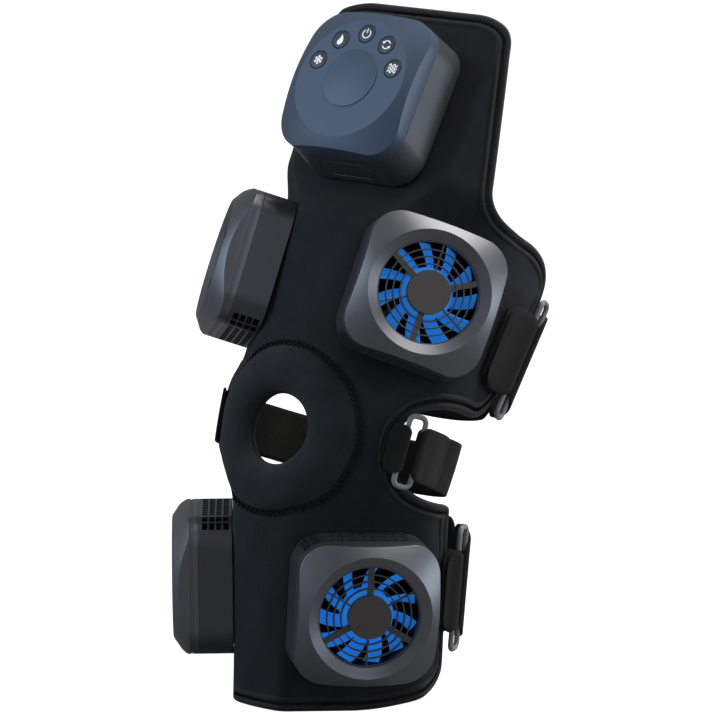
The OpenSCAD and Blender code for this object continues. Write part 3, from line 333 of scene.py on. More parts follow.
def legPoint(phi, u, r):
    phi, u, r = np.broadcast_arrays(np.asarray(phi, float), np.asarray(u, float), np.asarray(r, float))
    y, z, a = axisAt(u)
    f = -r * np.cos(np.radians(phi))
    return np.stack([r * np.sin(np.radians(phi)), y + f * np.cos(a), z - f * np.sin(a)], -1)


def skinPoint(phi, u, off=0.0):
    phi, u, off = np.broadcast_arrays(np.asarray(phi, float), np.asarray(u, float), np.asarray(off, float))
    return legPoint(phi, u, skinRadius(phi, u, off))


def turnX(deg):
    return Matrix.Rotation(math.radians(deg), 4, "X")


def turnZ(deg):
    return Matrix.Rotation(math.radians(deg), 4, "Z")


def shift(x, y, z):
    return Matrix.Translation((x, y, z))


moduleFrames = {}
for word, side in (("right", 1), ("left", -1)):
    moduleFrames["thigh_" + word] = (turnX(-leg["bend"]) @ turnZ(side * module["thighAngle"])
                                     @ shift(0, -module["thighSeat"], module["thighRise"])
                                     @ turnX(90 - module["thighPitch"]))
    moduleFrames["shin_" + word] = (turnZ(side * module["shinAngle"])
                                    @ shift(0, -module["shinSeat"], -module["shinDrop"])
                                    @ turnX(90 - module["shinPitch"]))
boxFrame = turnX(-leg["bend"]) @ shift(0, -box["seat"], box["rise"]) @ turnX(90 - box["pitch"])
kneeFrame = turnX(90 - leg["bend"] / 2)


def intoFrame(points, place):
    m = np.array(place.inverted())
    return points @ m[:3, :3].T + m[:3, 3]


search = {"rounds": 25, "pull": 0.8, "radius": 70.0, "leastCos": 0.35}


def findOnSkin(place, x, y, phi, u):
    # angle and place on the leg of a spot given in a frame's own x and y
    x, y = np.asarray(x, float), np.asarray(y, float)
    start = phi
    phi, u = np.full(x.shape, float(phi)), np.full(x.shape, float(u))
    for _ in range(search["rounds"]):
        q = intoFrame(skinPoint(phi, u), place)
        around = search["radius"] * np.maximum(search["leastCos"], np.cos(np.radians(phi - start)))
        phi = phi + np.degrees((x - q[..., 0]) / around) * search["pull"]
        u = u + (y - q[..., 1]) * search["pull"]
    return phi, u


# ---- the wrap's outline ----
outline = {"hemHalf": 50, "shinWingLow": 104, "shinWingHigh": 97, "notchHalf": 56, "thighWingLow": 92,
           "thighWingHigh": 110, "tongueLow": 61, "tongueHigh": 50, "topHalf": 34,
           "lowCorner": -104, "notchLow": -11, "notchMid": 13, "notchHigh": 41,
           "wingFull": 97, "wingTop": 125, "shoulder": 142, "tongue": 160, "topCorner": 236,
           "samples": 60, "step": 2.0, "rounding": 3}


def corner(t):
    c = min(1, max(0, t))
    return math.sqrt(1 - (1 - c) ** 2)


def edgeHalf(u):
    o = outline
    shoulderHalf = (o["tongueLow"] + o["thighWingHigh"]) / 2

    def along(start, end):
        return (u - start) / (end - start)

    if u < o["lowCorner"]:
        return mix(o["hemHalf"], o["shinWingLow"], corner(along(leg["low"], o["lowCorner"])))
    if u < o["notchLow"]:
        return mix(o["shinWingLow"], o["shinWingHigh"], along(o["lowCorner"], o["notchLow"]))
    if u < o["notchMid"]:
        return mix(o["shinWingHigh"], o["notchHalf"], corner(along(o["notchLow"], o["notchMid"])))
    if u < o["notchHigh"]:
        return mix(o["thighWingLow"], o["notchHalf"], corner(along(o["notchHigh"], o["notchMid"])))
    if u < o["wingFull"]:
        return mix(o["thighWingLow"], o["thighWingHigh"], corner(along(o["notchHigh"], o["wingFull"])))
    if u < o["wingTop"]:
        return o["thighWingHigh"]
    if u < o["shoulder"]:
        return mix(shoulderHalf, o["thighWingHigh"], corner(along(o["shoulder"], o["wingTop"])))
    if u < o["tongue"]:
        return mix(shoulderHalf, o["tongueLow"], corner(along(o["shoulder"], o["tongue"])))
    if u < o["topCorner"]:
        return mix(o["tongueLow"], o["tongueHigh"], along(o["tongue"], o["topCorner"]))
    return mix(o["topHalf"], o["tongueHigh"], corner(along(leg["top"], o["topCorner"])))


def resample(points, step, closed):
    pts = np.asarray(points, float)
    if closed:
        pts = np.vstack([pts, pts[:1]])
    d = np.r_[0, np.cumsum(np.linalg.norm(np.diff(pts, axis=0), axis=1))]
    n = max(3, int(round(d[-1] / step)))
    s = np.linspace(0, d[-1], n + 1)
    if closed:
        s = s[:-1]
    return np.stack([np.interp(s, d, pts[:, k]) for k in range(pts.shape[1])], 1)


def makeOutline():
    # closed loop of points: arc length across, place along the leg
    o = outline
    keys = ("lowCorner", "notchLow", "notchMid", "notchHigh", "wingFull", "wingTop", "shoulder", "tongue",
            "topCorner")
    stops = [leg["low"]] + [o[k] for k in keys] + [leg["top"]]
    right = []
    for a, b in zip(stops[:-1], stops[1:]):
        for t in np.linspace(0, 1, o["samples"]):
            u = mix(a, b, 0.5 - 0.5 * math.cos(math.pi * t))
            right.append((edgeHalf(min(u, b - 1e-6)), u))
    right = [(p * math.pi / 180 * float(legRadius(u)), u) for p, u in right]
    left = [(-x, u) for x, u in reversed(right)]
    loop = resample(right + left, o["step"], True)
    for _ in range(o["rounding"]):
        loop = 0.25 * np.roll(loop, 1, 0) + 0.5 * loop + 0.25 * np.roll(loop, -1, 0)
    return loop


def inwardNormals(loop):
    t = np.roll(loop, -1, 0) - np.roll(loop, 1, 0)
    t /= np.linalg.norm(t, axis=1)[:, None]
    return np.stack([-t[:, 1], t[:, 0]], 1)


def toAngle(x, u):
    return np.degrees(x / legRadius(u))


def inside(points, poly):
    x, y = points[:, 0], points[:, 1]
    hit = np.zeros(len(points), bool)
    a, b = poly, np.roll(poly, -1, 0)
    for (x0, y0), (x1, y1) in zip(a, b):
        cross = (y0 > y) != (y1 > y)
        if cross.any():
            hit ^= cross & (x < (x1 - x0) * (y - y0) / (y1 - y0 + 1e-12) + x0)
    return hit


def gapTo(points, poly):
    best = np.full(len(points), 1e9)
    for q in poly:
        best = np.minimum(best, np.hypot(points[:, 0] - q[0], points[:, 1] - q[1]))
    return best


def newPiece(name, verts, faces, material, body, uv=None, angle=40):
    # verts in millimetres
    mesh = bpy.data.meshes.new(name)
    mesh.from_pydata([tuple(v) for v in np.asarray(verts) * mm], [], faces)
    mesh.update()
    obj = bpy.data.objects.new(name, mesh)
    bpy.context.scene.collection.objects.link(obj)
    if uv is not None:
        layer = mesh.uv_layers.new(name="surface")
        uv = np.asarray(uv, float)
        index = np.empty(len(mesh.loops), int)
        mesh.loops.foreach_get("vertex_index", index)
        layer.data.foreach_set("uv", uv[index].ravel())
    mesh.materials.append(finish[material])
    useSmooth(obj, angle)
    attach(obj, body)
    return obj


def clearSelection():
    if bpy.context.object and bpy.context.object.mode != "OBJECT":
        bpy.ops.object.mode_set(mode="OBJECT")
    for other in list(bpy.context.selected_objects):
        other.select_set(False)


def makeActive(obj):
    clearSelection()
    obj.select_set(True)
    bpy.context.view_layer.objects.active = obj


def useSmooth(obj, angle):
    makeActive(obj)
    bpy.ops.object.shade_smooth_by_angle(angle=math.radians(angle))
    obj.select_set(False)


def kneeRho(points):
    q = intoFrame(points, kneeFrame)
    return np.hypot(q[..., 0], q[..., 1] - pad["rise"])


def kneePlace(rho, angle):
    x, y = rho * np.cos(angle), pad["rise"] + rho * np.sin(angle)
    return findOnSkin(kneeFrame, x, y, 0, pad["rise"])


pad = {"edge": 46.5, "rise": 15.0, "turns": 200,
       "profile": [(46.6, -1.3), (45.8, -0.6), (44.8, 0.7), (43.2, 2.2), (41, 3.5), (38, 4.5), (34.5, 5.0),
                   (31, 5.0), (28, 4.4), (25.4, 3.2), (23.2, 1.4), (21.6, -0.8), (20.7, -3.0), (20.6, -4.4),
                   (21.0, -4.9), (20.4, -5.2), (20.0, -6.0), (20.4, -7.0), (22.5, -7.6), (27, -7.2),
                   (34, -6.4), (42, -5.9), (46.4, -5.4), (46.7, -4.6)],
       "swells": [(0.25, 5, 0.7), (0.18, 9, 0.0)], "swellAbove": 1.0, "frontAbove": -5.0, "backShift": 9.0}


def loopFaces(rows, cols, closedRows=False, capped=False):
    # quads between points kept as rows x cols; the columns close
    faces = []
    for i in range(rows if closedRows else rows - 1):
        for j in range(cols):
            a, b = i * cols + j, i * cols + (j + 1) % cols
            c, d = ((i + 1) % rows) * cols + (j + 1) % cols, ((i + 1) % rows) * cols + j
            faces.append((a, b, c, d))
    if capped:
        faces.append(tuple(range(cols))[::-1])
        faces.append(tuple((rows - 1) * cols + k for k in range(cols)))
    return faces


def tubeAlong(points, normals, radius, sides=4):
    # thread: a thin closed tube along points, with normals to lean on
    p = np.asarray(points)
    t = np.roll(p, -1, 0) - np.roll(p, 1, 0)
    t /= np.linalg.norm(t, axis=1)[:, None]
    n = normals - (normals * t).sum(1)[:, None] * t
    n /= np.linalg.norm(n, axis=1)[:, None]
    b = np.cross(t, n)
    rings = []
    for k in range(sides):
        a = 2 * math.pi * k / sides
        rings.append(p + radius * (math.cos(a) * n + math.sin(a) * b))
    return np.stack(rings, 1).reshape(-1, 3), loopFaces(len(p), sides, True)


def fixNormals(obj, weld=0.0):
    bm = bmesh.new()
    bm.from_mesh(obj.data)
    if weld:
        bmesh.ops.remove_doubles(bm, verts=bm.verts, dist=weld)
    bmesh.ops.recalc_face_normals(bm, faces=bm.faces)
    bm.to_mesh(obj.data)
    bm.free()


def makeStitch(name, phi, u, height, radius):
    low, high = skinPoint(phi, u, height), skinPoint(phi, u, height + 2)
    verts, faces = tubeAlong(low, high - low, radius)
    thread = newPiece(name, verts, faces, "thread", "device", verts[:, [0, 2]], 60)
    fixNormals(thread)


folds = {"slow": 0.35, "quick": 0.2, "sideAt": 62.0, "sideSpread": 18.0, "depth": 0.7,
         "creases": [(1.0, 2.0, 0.12, 3.2), (0.7, 24.0, -0.05, 3.6)],
         "moduleHalf": 38.0, "boxHalf": 42.0, "top": 236.0, "fade": 14.0}


def foldHeight(phi, u):
    # slow waves and a few creases where the neoprene bends at the knee
    f = folds
    wave = f["slow"] * np.sin(phi * 0.13 + 0.03 * u) * np.sin(u * 0.045 + 1.3)
    wave = wave + f["quick"] * np.sin(phi * 0.31 - u * 0.09)
    side = np.exp(-((np.abs(phi) - f["sideAt"]) / f["sideSpread"]) ** 2)
    crease = 0
    for share, at, lean, wide in f["creases"]:
        crease = crease + share * np.exp(-((u - at - lean * np.abs(phi)) / wide) ** 2)
    calm = 1.0
    for angle, seat, place, tilt, low, high in seats:
        half = f["moduleHalf"] if high < far else f["boxHalf"]
        dx = np.abs(phi - angle) * math.pi / 180 * legRadius(u) - half
        dy = np.maximum(low - u, np.minimum(u, f["top"]) - high)
        calm = calm * ease(np.maximum(dx, dy) / f["fade"])
    return (wave - f["depth"] * side * crease) * calm


wrap = {"grid": 3.6, "edgeInset": 3.0, "borderGap": 0.6, "holeGap": 0.5, "padPoints": 120,
        "window": 42.4, "windowSteps": 10, "seamDrop": 1.3, "seamWidth": 4.5, "foldStart": 10.0,
        "edgeFade": 6.0, "rimWidth": 5.0, "rimDrop": 0.3, "backShift": 7.0}
outlineLoop = makeOutline()


def makeWrap():
    inward = inwardNormals(outlineLoop)
    border = outlineLoop + inward * wrap["edgeInset"]
    border = border[::2]
    ringAngle = np.linspace(0, 2 * math.pi, wrap["padPoints"], endpoint=False)
    phi, u = kneePlace(pad["edge"], ringAngle)
    holes = [np.stack([np.radians(phi) * legRadius(u), u], 1)]
    h, steps = wrap["window"] / 2, wrap["windowSteps"]
    run = np.linspace(-h, h, steps + 1)[:-1]
    squareX = np.concatenate([run, np.full(steps, h), -run, np.full(steps, -h)])
    squareY = np.concatenate([np.full(steps, -h), run, np.full(steps, h), -run])
    for key, place in moduleFrames.items():
        side = 1 if key.endswith("right") else -1
        start = (module["shinAngle"], shinAt) if key.startswith("shin") else (module["thighAngle"], thighAt)
        phi, u = findOnSkin(place, squareX, squareY, side * start[0], start[1])
        holes.append(np.stack([np.radians(phi) * legRadius(u), u], 1))
    low, high = border.min(0), border.max(0)
    gx, gy = np.meshgrid(np.arange(low[0], high[0], wrap["grid"]), np.arange(low[1], high[1], wrap["grid"]))
    gx = gx + (np.arange(gx.shape[0]) % 2)[:, None] * wrap["grid"] / 2
    grid = np.stack([gx.ravel(), gy.ravel()], 1)
    grid = grid[inside(grid, border)]
    grid = grid[gapTo(grid, border) > wrap["grid"] * wrap["borderGap"]]
    for hole in holes:
        grid = grid[~inside(grid, hole)]
        grid = grid[gapTo(grid, hole) > wrap["grid"] * wrap["holeGap"]]
    loops = [border] + holes
    pts = np.vstack(loops + [grid])
    edges, at = [], 0
    for loop in loops:
        edges += [(at + i, at + (i + 1) % len(loop)) for i in range(len(loop))]
        at += len(loop)
    verts, _, tris, _, _, _ = delaunay_2d_cdt([Vector(p) for p in pts], edges, [], 0, 1e-5)
    flat = np.array([(v.x, v.y) for v in verts])
    tris = np.array(tris)
    mid = flat[tris].mean(1)
    good = inside(mid, border)
    for hole in holes:
        good &= ~inside(mid, hole)
    tris = tris[good]
    area = np.cross(flat[tris[:, 1]] - flat[tris[:, 0]], flat[tris[:, 2]] - flat[tris[:, 0]])
    tris[area < 0] = tris[area < 0][:, ::-1]
    phi, u = toAngle(flat[:, 0], flat[:, 1]), flat[:, 1]
    rho = kneeRho(skinPoint(phi, u))
    seam = 1 - ease((rho - pad["edge"]) / wrap["seamWidth"])
    rim = np.abs(gapTo(flat, border))
    top = foldHeight(phi, u) * ease((rho - pad["edge"]) / wrap["foldStart"]) - wrap["seamDrop"] * seam
    top = top * ease(rim / wrap["edgeFade"]) - wrap["rimDrop"] * (1 - ease(rim / wrap["rimWidth"]))
    outer = skinPoint(phi, u, top)
    inner = skinPoint(phi, u, -leg["foam"])
    n = len(flat)
    faces = [tuple(int(i) for i in t) for t in tris] + [tuple(int(i) + n for i in t[::-1]) for t in tris]
    sides = {}
    for t in tris:
        for a, b in ((t[0], t[1]), (t[1], t[2]), (t[2], t[0])):
            sides[(int(a), int(b))] = True
    for a, b in sides:
        if (b, a) not in sides:
            faces.append((b, a, a + n, b + n))
    uv = np.vstack([flat, flat + wrap["backShift"]])
    piece = newPiece("wrapFabric", np.vstack([outer, inner]), faces, "neoprene", "device", uv)
    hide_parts("wrap_body")


makeWrap()
print("wrap made")

# ---- binding round the edge, with a zigzag seam in its groove ----
binding = {"profile": [(8.3, -0.9), (8.2, -0.1), (7.7, 0.45), (6.9, 0.8), (6.0, 0.75), (5.4, 0.35),
                       (5.0, 0.1), (3.6, 0.1), (3.1, 0.4), (2.4, 0.85), (1.4, 0.95), (0.5, 0.5), (-0.2, -0.5),
                       (-0.55, -2.2), (-0.3, -4.2), (0.5, -5.4), (1.8, -5.75), (6.0, -5.75), (7.6, -5.5),
                       (8.2, -4.6)], "rowStep": 1.3,
           "stitchAt": 4.3, "stitchHalf": 1.0, "stitchStep": 0.7, "stitchHeight": 0.25, "threadRadius": 0.24}


def makeBinding():
    inward = inwardNormals(outlineLoop)
    rows, uvs = [], []
    along = np.r_[0, np.cumsum(np.linalg.norm(np.diff(outlineLoop, axis=0), axis=1))]
    for k, (d, h) in enumerate(binding["profile"]):
        q = outlineLoop + inward * d
        rows.append(skinPoint(toAngle(q[:, 0], q[:, 1]), q[:, 1], h))
        uvs.append(np.stack([along, np.full(len(along), k * binding["rowStep"])], 1))
    faces = loopFaces(len(rows), len(outlineLoop), True)
    piece = newPiece("edgeBindingTape", np.vstack(rows), faces, "binding", "device",
                     np.vstack(uvs))
    fixNormals(piece)
    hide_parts("edge_binding")
    fine = resample(outlineLoop, binding["stitchStep"], True)
    if len(fine) % 2:
        fine = resample(outlineLoop, binding["stitchStep"] * len(fine) / (len(fine) + 1), True)
    inward = inwardNormals(fine)
    sway = np.where(np.arange(len(fine)) % 2 == 0, 1, -1)[:, None] * binding["stitchHalf"]
    q = fine + inward * (binding["stitchAt"] + sway)
    makeStitch("hemStitch", toAngle(q[:, 0], q[:, 1]), q[:, 1], binding["stitchHeight"],
               binding["threadRadius"])


makeBinding()
print("binding made")

# ---- kneecap pad ----
padStitch = {"at": 47.0, "half": 1.7, "pitch": 3.2, "outerHeight": -0.15, "innerHeight": 0.35,
             "threadRadius": 0.42}


def makePad():
    a = np.linspace(0, 2 * math.pi, pad["turns"], endpoint=False)
    rows, uvs = [], []
    for k, (rho, off) in enumerate(pad["profile"]):
        x, y = rho * np.cos(a), pad["rise"] + rho * np.sin(a)
        phi, u = kneePlace(rho, a)
        plump = sum(size * np.sin(waves * a + turn) for size, waves, turn in pad["swells"])
        rows.append(skinPoint(phi, u, off + (plump if off > pad["swellAbove"] else 0.0)))
        uvs.append(np.stack([x, y if off > pad["frontAbove"] else y + pad["backShift"]], 1))
    piece = newPiece("kneecapPad", np.vstack(rows), loopFaces(len(rows), len(a), True), "padClothPaintedLighter", "device",
                     np.vstack(uvs), 60)
    fixNormals(piece)
    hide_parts("patella_pad")
    count = 2 * int(round(2 * math.pi * padStitch["at"] / padStitch["pitch"]))
    a = np.linspace(0, 2 * math.pi, count, endpoint=False)
    rho = padStitch["at"] + np.where(np.arange(count) % 2 == 0, 1, -1) * padStitch["half"]
    phi, u = kneePlace(rho, a)
    height = np.where(rho > padStitch["at"], padStitch["outerHeight"], padStitch["innerHeight"])
    makeStitch("padStitch", phi, u, height, padStitch["threadRadius"])


makePad()
print("pad made")

# ---- straps and keepers ----
webbing = {"thickness": 1.6, "gap": 0.5, "bar": 1.5, "ringWidth": 10.0, "bindingProud": 0.7, "fold": 34.0,
           "cornerRadius": 10.0, "cornerShare": 0.36, "flap": 9.0, "flapShare": 0.7, "slackFade": 30.0,
           "foldStart": 11.0, "strapStart": 5.0, "turnStep": 15, "rows": 13, "edgeRound": 0.5,
           "edgeBevel": 0.1, "edgeHeight": 0.6, "backShift": 40.0}
webHeight = webbing["bindingProud"] + webbing["gap"] + webbing["thickness"] / 2
loopRadius = webbing["bar"] + webbing["gap"] + webbing["thickness"] / 2
barHeight = webHeight + loopRadius
layer = webbing["thickness"] + webbing["gap"]
strapKeys = ("at", "width", "past", "pull", "sewn", "end", "keeper")
straps = {key: dict(zip(strapKeys, values)) for key, values in (
    ("upper", (83.0, 60.0, -3.0, 7.0, 24.0, 24.0, 48.0)),
    ("middle", (12.0, 30.0, 7.0, 13.0, 9.0, 24.0, 27.0)),
    ("lower", (-60.0, 60.0, 4.0, 4.0, 11.0, 11.0, 48.0)))}


def strapFacts(key):
    s = straps[key]
    half = max(edgeHalf(u) for u in (s["at"] - s["width"] / 2, s["at"], s["at"] + s["width"] / 2))
    ring = (outline["notchHalf"] if key == "middle" else half) + s["past"]
    return half, ring, float(legRadius(s["at"]))


def strapLines(key):
    s = straps[key]
    half, ring, r0 = strapFacts(key)

    def deg(x):
        return math.degrees(x / r0)

    def beside(x, z):
        r = r0 + barHeight + z
        return (ring + math.degrees(math.atan(x / r)), math.hypot(x, r) - r0)

    def halfTurn(x, side):
        turns = [math.radians(a) for a in range(-90, 91, webbing["turnStep"])]
        return [beside(x + side * loopRadius * math.cos(a), loopRadius * math.sin(a)) for a in turns]

    bar = -webbing["ringWidth"] / 2
    start, down = bar - s["sewn"], min(webbing["flap"], webbing["flapShare"] * s["sewn"])
    keeper = [(ring + deg(x), webHeight) for x in (start, (start + bar) / 2)] + halfTurn(bar, 1)
    keeper += [(ring + deg(x), webHeight + layer) for x in (bar - down, start + 1)]
    bar = webbing["ringWidth"] / 2
    begin, end = ring + deg(bar), 360 - half

    def height(phi):
        fade = webbing["slackFade"]
        return webHeight - s["pull"] * float(ease((phi - begin) / fade) * ease((end - phi) / fade))

    foldEnd, foldStart = ring + deg(bar + webbing["fold"]), ring + deg(bar + webbing["foldStart"])
    strap = [(p, height(p) + layer) for p in np.linspace(foldEnd, foldStart, 4)]
    strap += halfTurn(bar, -1)[::-1]
    first = ring + deg(bar + webbing["strapStart"])
    strap += [(p, height(p)) for p in np.linspace(first, end + deg(s["end"]), 40)]
    return strap, keeper


def smoothLine(line, r0, step=1.6):
    polar = [(math.radians(p), r0 + h) for p, h in line]
    xy = np.array([(r * math.sin(a), -r * math.cos(a)) for a, r in polar])
    fine = resample(xy, step, False)
    for _ in range(2):
        fine[1:-1] = 0.25 * fine[:-2] + 0.5 * fine[1:-1] + 0.25 * fine[2:]
    return fine


def webStrip(name, line, key, width, replaced, turnSide, puff=0.0):
    s = straps[key]
    r0 = strapFacts(key)[2]
    xy = smoothLine(line, r0)
    t = np.gradient(xy, axis=0)
    t /= np.linalg.norm(t, axis=1)[:, None]
    normal = np.stack([t[:, 1], -t[:, 0]], 1)
    w, e = width / 2, webbing["thickness"] / 2
    slope = float(legRadius(s["at"] + s["width"] / 2) - legRadius(s["at"] - s["width"] / 2)) / s["width"]
    lean = float(axisAt(s["at"])[2])
    upward = np.array([0, math.sin(lean), math.cos(lean)])
    across = np.degrees(np.unwrap(np.arctan2(xy[:, 0], -xy[:, 1]))) * math.pi / 180 * r0
    fromTurn = np.abs(across - (across.max() if turnSide > 0 else across.min()))
    fromEnd = np.minimum(fromTurn, np.abs(across - across[-1 if turnSide > 0 else 0]))
    radius = min(webbing["cornerRadius"], w * webbing["cornerShare"])
    narrow = 1 - radius / w * (1 - np.sqrt(1 - (1 - np.clip(fromEnd / radius, 0, 1)) ** 2))
    flatHalf = w - webbing["edgeRound"]
    side = w - webbing["edgeBevel"]
    rim = [(side, e * webbing["edgeHeight"]), (w, 0), (side, -e * webbing["edgeHeight"])]
    steps = webbing["rows"]
    section = [(v * flatHalf, e + puff * (1 - v * v)) for v in np.linspace(-1, 1, steps)] + rim
    section += [(v * flatHalf, -e) for v in np.linspace(1, -1, steps)] + [(-x, -y) for x, y in rim]
    rows, uvs = [], []
    along = np.r_[0, np.cumsum(np.linalg.norm(np.diff(xy, axis=0), axis=1))]
    for k, (v, h) in enumerate(section):
        q = xy + normal * h
        phi = np.degrees(np.arctan2(q[:, 0], -q[:, 1]))
        d = v * narrow
        rows.append(legPoint(phi, s["at"], np.hypot(q[:, 0], q[:, 1]) + slope * d) + d[:, None] * upward)
        uvs.append(np.stack([along, np.full(len(along), v + (webbing["backShift"] if h < 0 else 0))], 1))
    pts = np.stack(rows, 1)
    faces = loopFaces(*pts.shape[:2], capped=True)
    piece = newPiece(name, pts.reshape(-1, 3), faces, "webbing", "device",
                     np.stack(uvs, 1).reshape(-1, 2), 50)
    fixNormals(piece)
    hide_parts(replaced)


for key in straps:
    strapLine, keeperLine = strapLines(key)
    webStrip(key + "StrapWeb", strapLine, key, straps[key]["width"], key + "_strap", -1, 0.3)
    webStrip(key + "Keeper", keeperLine, key, straps[key]["keeper"], "ring_keepers", 1, 0.5)
print("straps made")

# ---- rigid shells, modelled from primitives in the module's or the box's own frame ----
shell = {"wall": 2.0, "seamTop": 19.05, "coverTop": 34.5, "slope": 0.67, "bezel": 33.0, "tipCut": 2.0,
         "bore": 28.4, "lipLow": 30.45, "lip": 0.35, "lipCut": (30.0, 31.5), "funnelSlope": 0.508,
         "funnelOver": 0.3, "crest": 1.1, "grooves": [(23.4, 0.55, 0.6), (22.2, 0.35, 0.4)],
         "grooveOut": 3.0, "grooveTool": 2.0, "cornerSteps": 16, "weld": 0.000002}
face = {"flat": 35.5, "slope": 0.45, "tipCut": 3.0, "wall": 2.0, "crest": 1.7,
        "disc": 17.5, "discRise": 0.5, "discSoft": 0.35, "discSides": 96, "ring": 27.0, "step": 36.0,
        "hole": (30.0, 44.0), "buttonRadius": 5.3, "buttonGap": 0.35, "buttonTop": 41.2, "buttonLow": 37.6,
        "buttonSoft": 0.55, "buttonSides": 64}
buttons = ("cold", "heat", "power", "contrast", "vibration")


def metres(place):
    m = place.copy()
    m.translation = m.translation * mm
    return m


def applyPlace(obj):
    obj.data.transform(obj.matrix_basis)
    obj.matrix_basis = Matrix.Identity(4)


def roundedBlock(width, height, radius, low, high, middle=0.0):
    clearSelection()
    bpy.ops.mesh.primitive_cube_add(size=1, location=(0, middle * mm, (low + high) / 2 * mm))
    obj = bpy.context.object
    obj.scale = (width * mm, height * mm, (high - low) * mm)
    applyPlace(obj)
    bpy.ops.object.mode_set(mode="EDIT")
    bpy.ops.mesh.select_mode(type="EDGE")
    bm = bmesh.from_edit_mesh(obj.data)
    for e in bm.edges:
        e.select_set(abs(e.verts[0].co.z - e.verts[1].co.z) > 1e-5)
    bmesh.update_edit_mesh(obj.data)
    bpy.ops.mesh.bevel(offset=radius * mm, segments=shell["cornerSteps"], affect="EDGES")
    bpy.ops.object.mode_set(mode="OBJECT")
    return obj


def coneBlock(low, high, lowRadius, highRadius, sides=160):
    clearSelection()
    bpy.ops.mesh.primitive_cone_add(vertices=sides, radius1=lowRadius * mm, radius2=highRadius * mm,
                                    depth=(high - low) * mm, location=(0, 0, (low + high) / 2 * mm))
    obj = bpy.context.object
    applyPlace(obj)
    return obj


def cylinder(low, high, radius, sides=160):
    return coneBlock(low, high, radius, radius, sides)


def applyModifier(obj, kind, **values):
    makeActive(obj)
    mod = obj.modifiers.new("shape", kind)
    for key, value in values.items():
        setattr(mod, key, value)
    bpy.ops.object.modifier_apply(modifier=mod.name)
    return obj


def combine(obj, tool, how):
    applyModifier(obj, "BOOLEAN", operation=how, solver="EXACT", object=tool)
    bpy.data.objects.remove(tool)
    return obj


def softenEdges(obj, width, segments=3, angle=28):
    return applyModifier(obj, "BEVEL", width=width * mm, segments=segments, limit_method="ANGLE",
                         angle_limit=math.radians(angle))


def underCone(block, low, apex, slope, cut):
    # what is left of a block under a cone whose tip, cut short, stands at the apex
    cone = coneBlock(low - 1, apex - cut, (apex - low + 1) / slope, cut / slope)
    return combine(block, cone, "INTERSECT")


def pieceName(key, ending):
    part, word = key.split("_")
    return part + word.capitalize() + ending


def finishPiece(obj, name, material, body, place, replaced, angle=30):
    obj.name = name
    obj.data.name = name
    fixNormals(obj, shell["weld"])
    obj.data.transform(metres(place))
    obj.data.materials.clear()
    obj.data.materials.append(finish[material])
    useSmooth(obj, angle)
    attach(obj, body)
    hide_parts(replaced)


def moduleBlock(grow, low, high):
    width = module["width"] + 2 * grow
    return roundedBlock(width, width, module["corner"] + grow, low, high)


def coverForm(inset, low, high):
    rim = shell["coverTop"] + shell["slope"] * shell["bezel"]
    drop = inset * math.sqrt(1 + shell["slope"] ** 2)
    return underCone(moduleBlock(-inset, low, high), low, rim - drop, shell["slope"], shell["tipCut"])


def makeCover():
    obj = coverForm(0, shell["seamTop"], shell["coverTop"])
    softenEdges(obj, shell["crest"])
    for at, wide, deep in shell["grooves"]:
        outer = moduleBlock(shell["grooveOut"], at - wide / 2, at + wide / 2)
        core = moduleBlock(-deep, at - shell["grooveTool"], at + shell["grooveTool"])
        obj = combine(obj, combine(outer, core, "DIFFERENCE"), "DIFFERENCE")
    obj = combine(obj, coverForm(shell["wall"], shell["seamTop"] - 1, shell["lipLow"]), "DIFFERENCE")
    obj = combine(obj, cylinder(*shell["lipCut"], shell["bore"]), "DIFFERENCE")
    start = shell["lipLow"] + shell["lip"]
    top = shell["coverTop"] + shell["funnelOver"]
    funnel = coneBlock(start, top, shell["bore"], shell["bore"] + (top - start) / shell["funnelSlope"])
    return combine(obj, funnel, "DIFFERENCE")


def placeCovers():
    first = makeCover()
    for key, place in moduleFrames.items():
        copy = first.copy()
        copy.data = first.data.copy()
        bpy.context.scene.collection.objects.link(copy)
        finishPiece(copy, pieceName(key, "Cover"), "cover", "device", place, "cover_" + key)
    bpy.data.objects.remove(first)


placeCovers()
print("covers made")

# ---- blue fan wheels ----
wheel = {"hub": 14.2, "hubLow": 18.4, "hubHigh": 27.0, "hubSides": 96, "hubSoft": 0.5,
         "root": 13.8, "tip": 27.6, "blades": 11, "middle": 22.8, "rise": 7.0, "rootWidth": 18.0,
         "tipWidth": 14.0, "thickness": 0.9, "cells": (10, 6), "thighSweep": 12.0, "shinSweep": -16.0}


def makeWheel(key, sweep):
    hub = cylinder(wheel["hubLow"], wheel["hubHigh"], wheel["hub"], wheel["hubSides"])
    obj = softenEdges(hub, wheel["hubSoft"])
    blades = []
    for i in range(wheel["blades"]):
        clearSelection()
        bpy.ops.mesh.primitive_grid_add(x_subdivisions=wheel["cells"][0], y_subdivisions=wheel["cells"][1],
                                        size=1)
        blade = bpy.context.object
        for v in blade.data.vertices:
            s, c = v.co.x + 0.5, v.co.y
            r = mix(wheel["root"], wheel["tip"], s)
            wide = mix(wheel["rootWidth"], wheel["tipWidth"], s)
            a = math.radians(360 * i / wheel["blades"] + sweep * s + c * wide)
            v.co = (r * math.cos(a) * mm, r * math.sin(a) * mm, (wheel["middle"] + c * wheel["rise"]) * mm)
        blades.append(applyModifier(blade, "SOLIDIFY", thickness=wheel["thickness"] * mm, offset=0))
    makeActive(obj)
    for blade in blades:
        blade.select_set(True)
    bpy.ops.object.join()
    node = "rotor_" + key
    finishPiece(obj, pieceName(key, "FanWheel"), "fan", nodeBody[node], moduleFrames[key], node)


for key in moduleFrames:
    makeWheel(key, wheel["thighSweep"] if key.startswith("thigh") else wheel["shinSweep"])
print("fan wheels made")


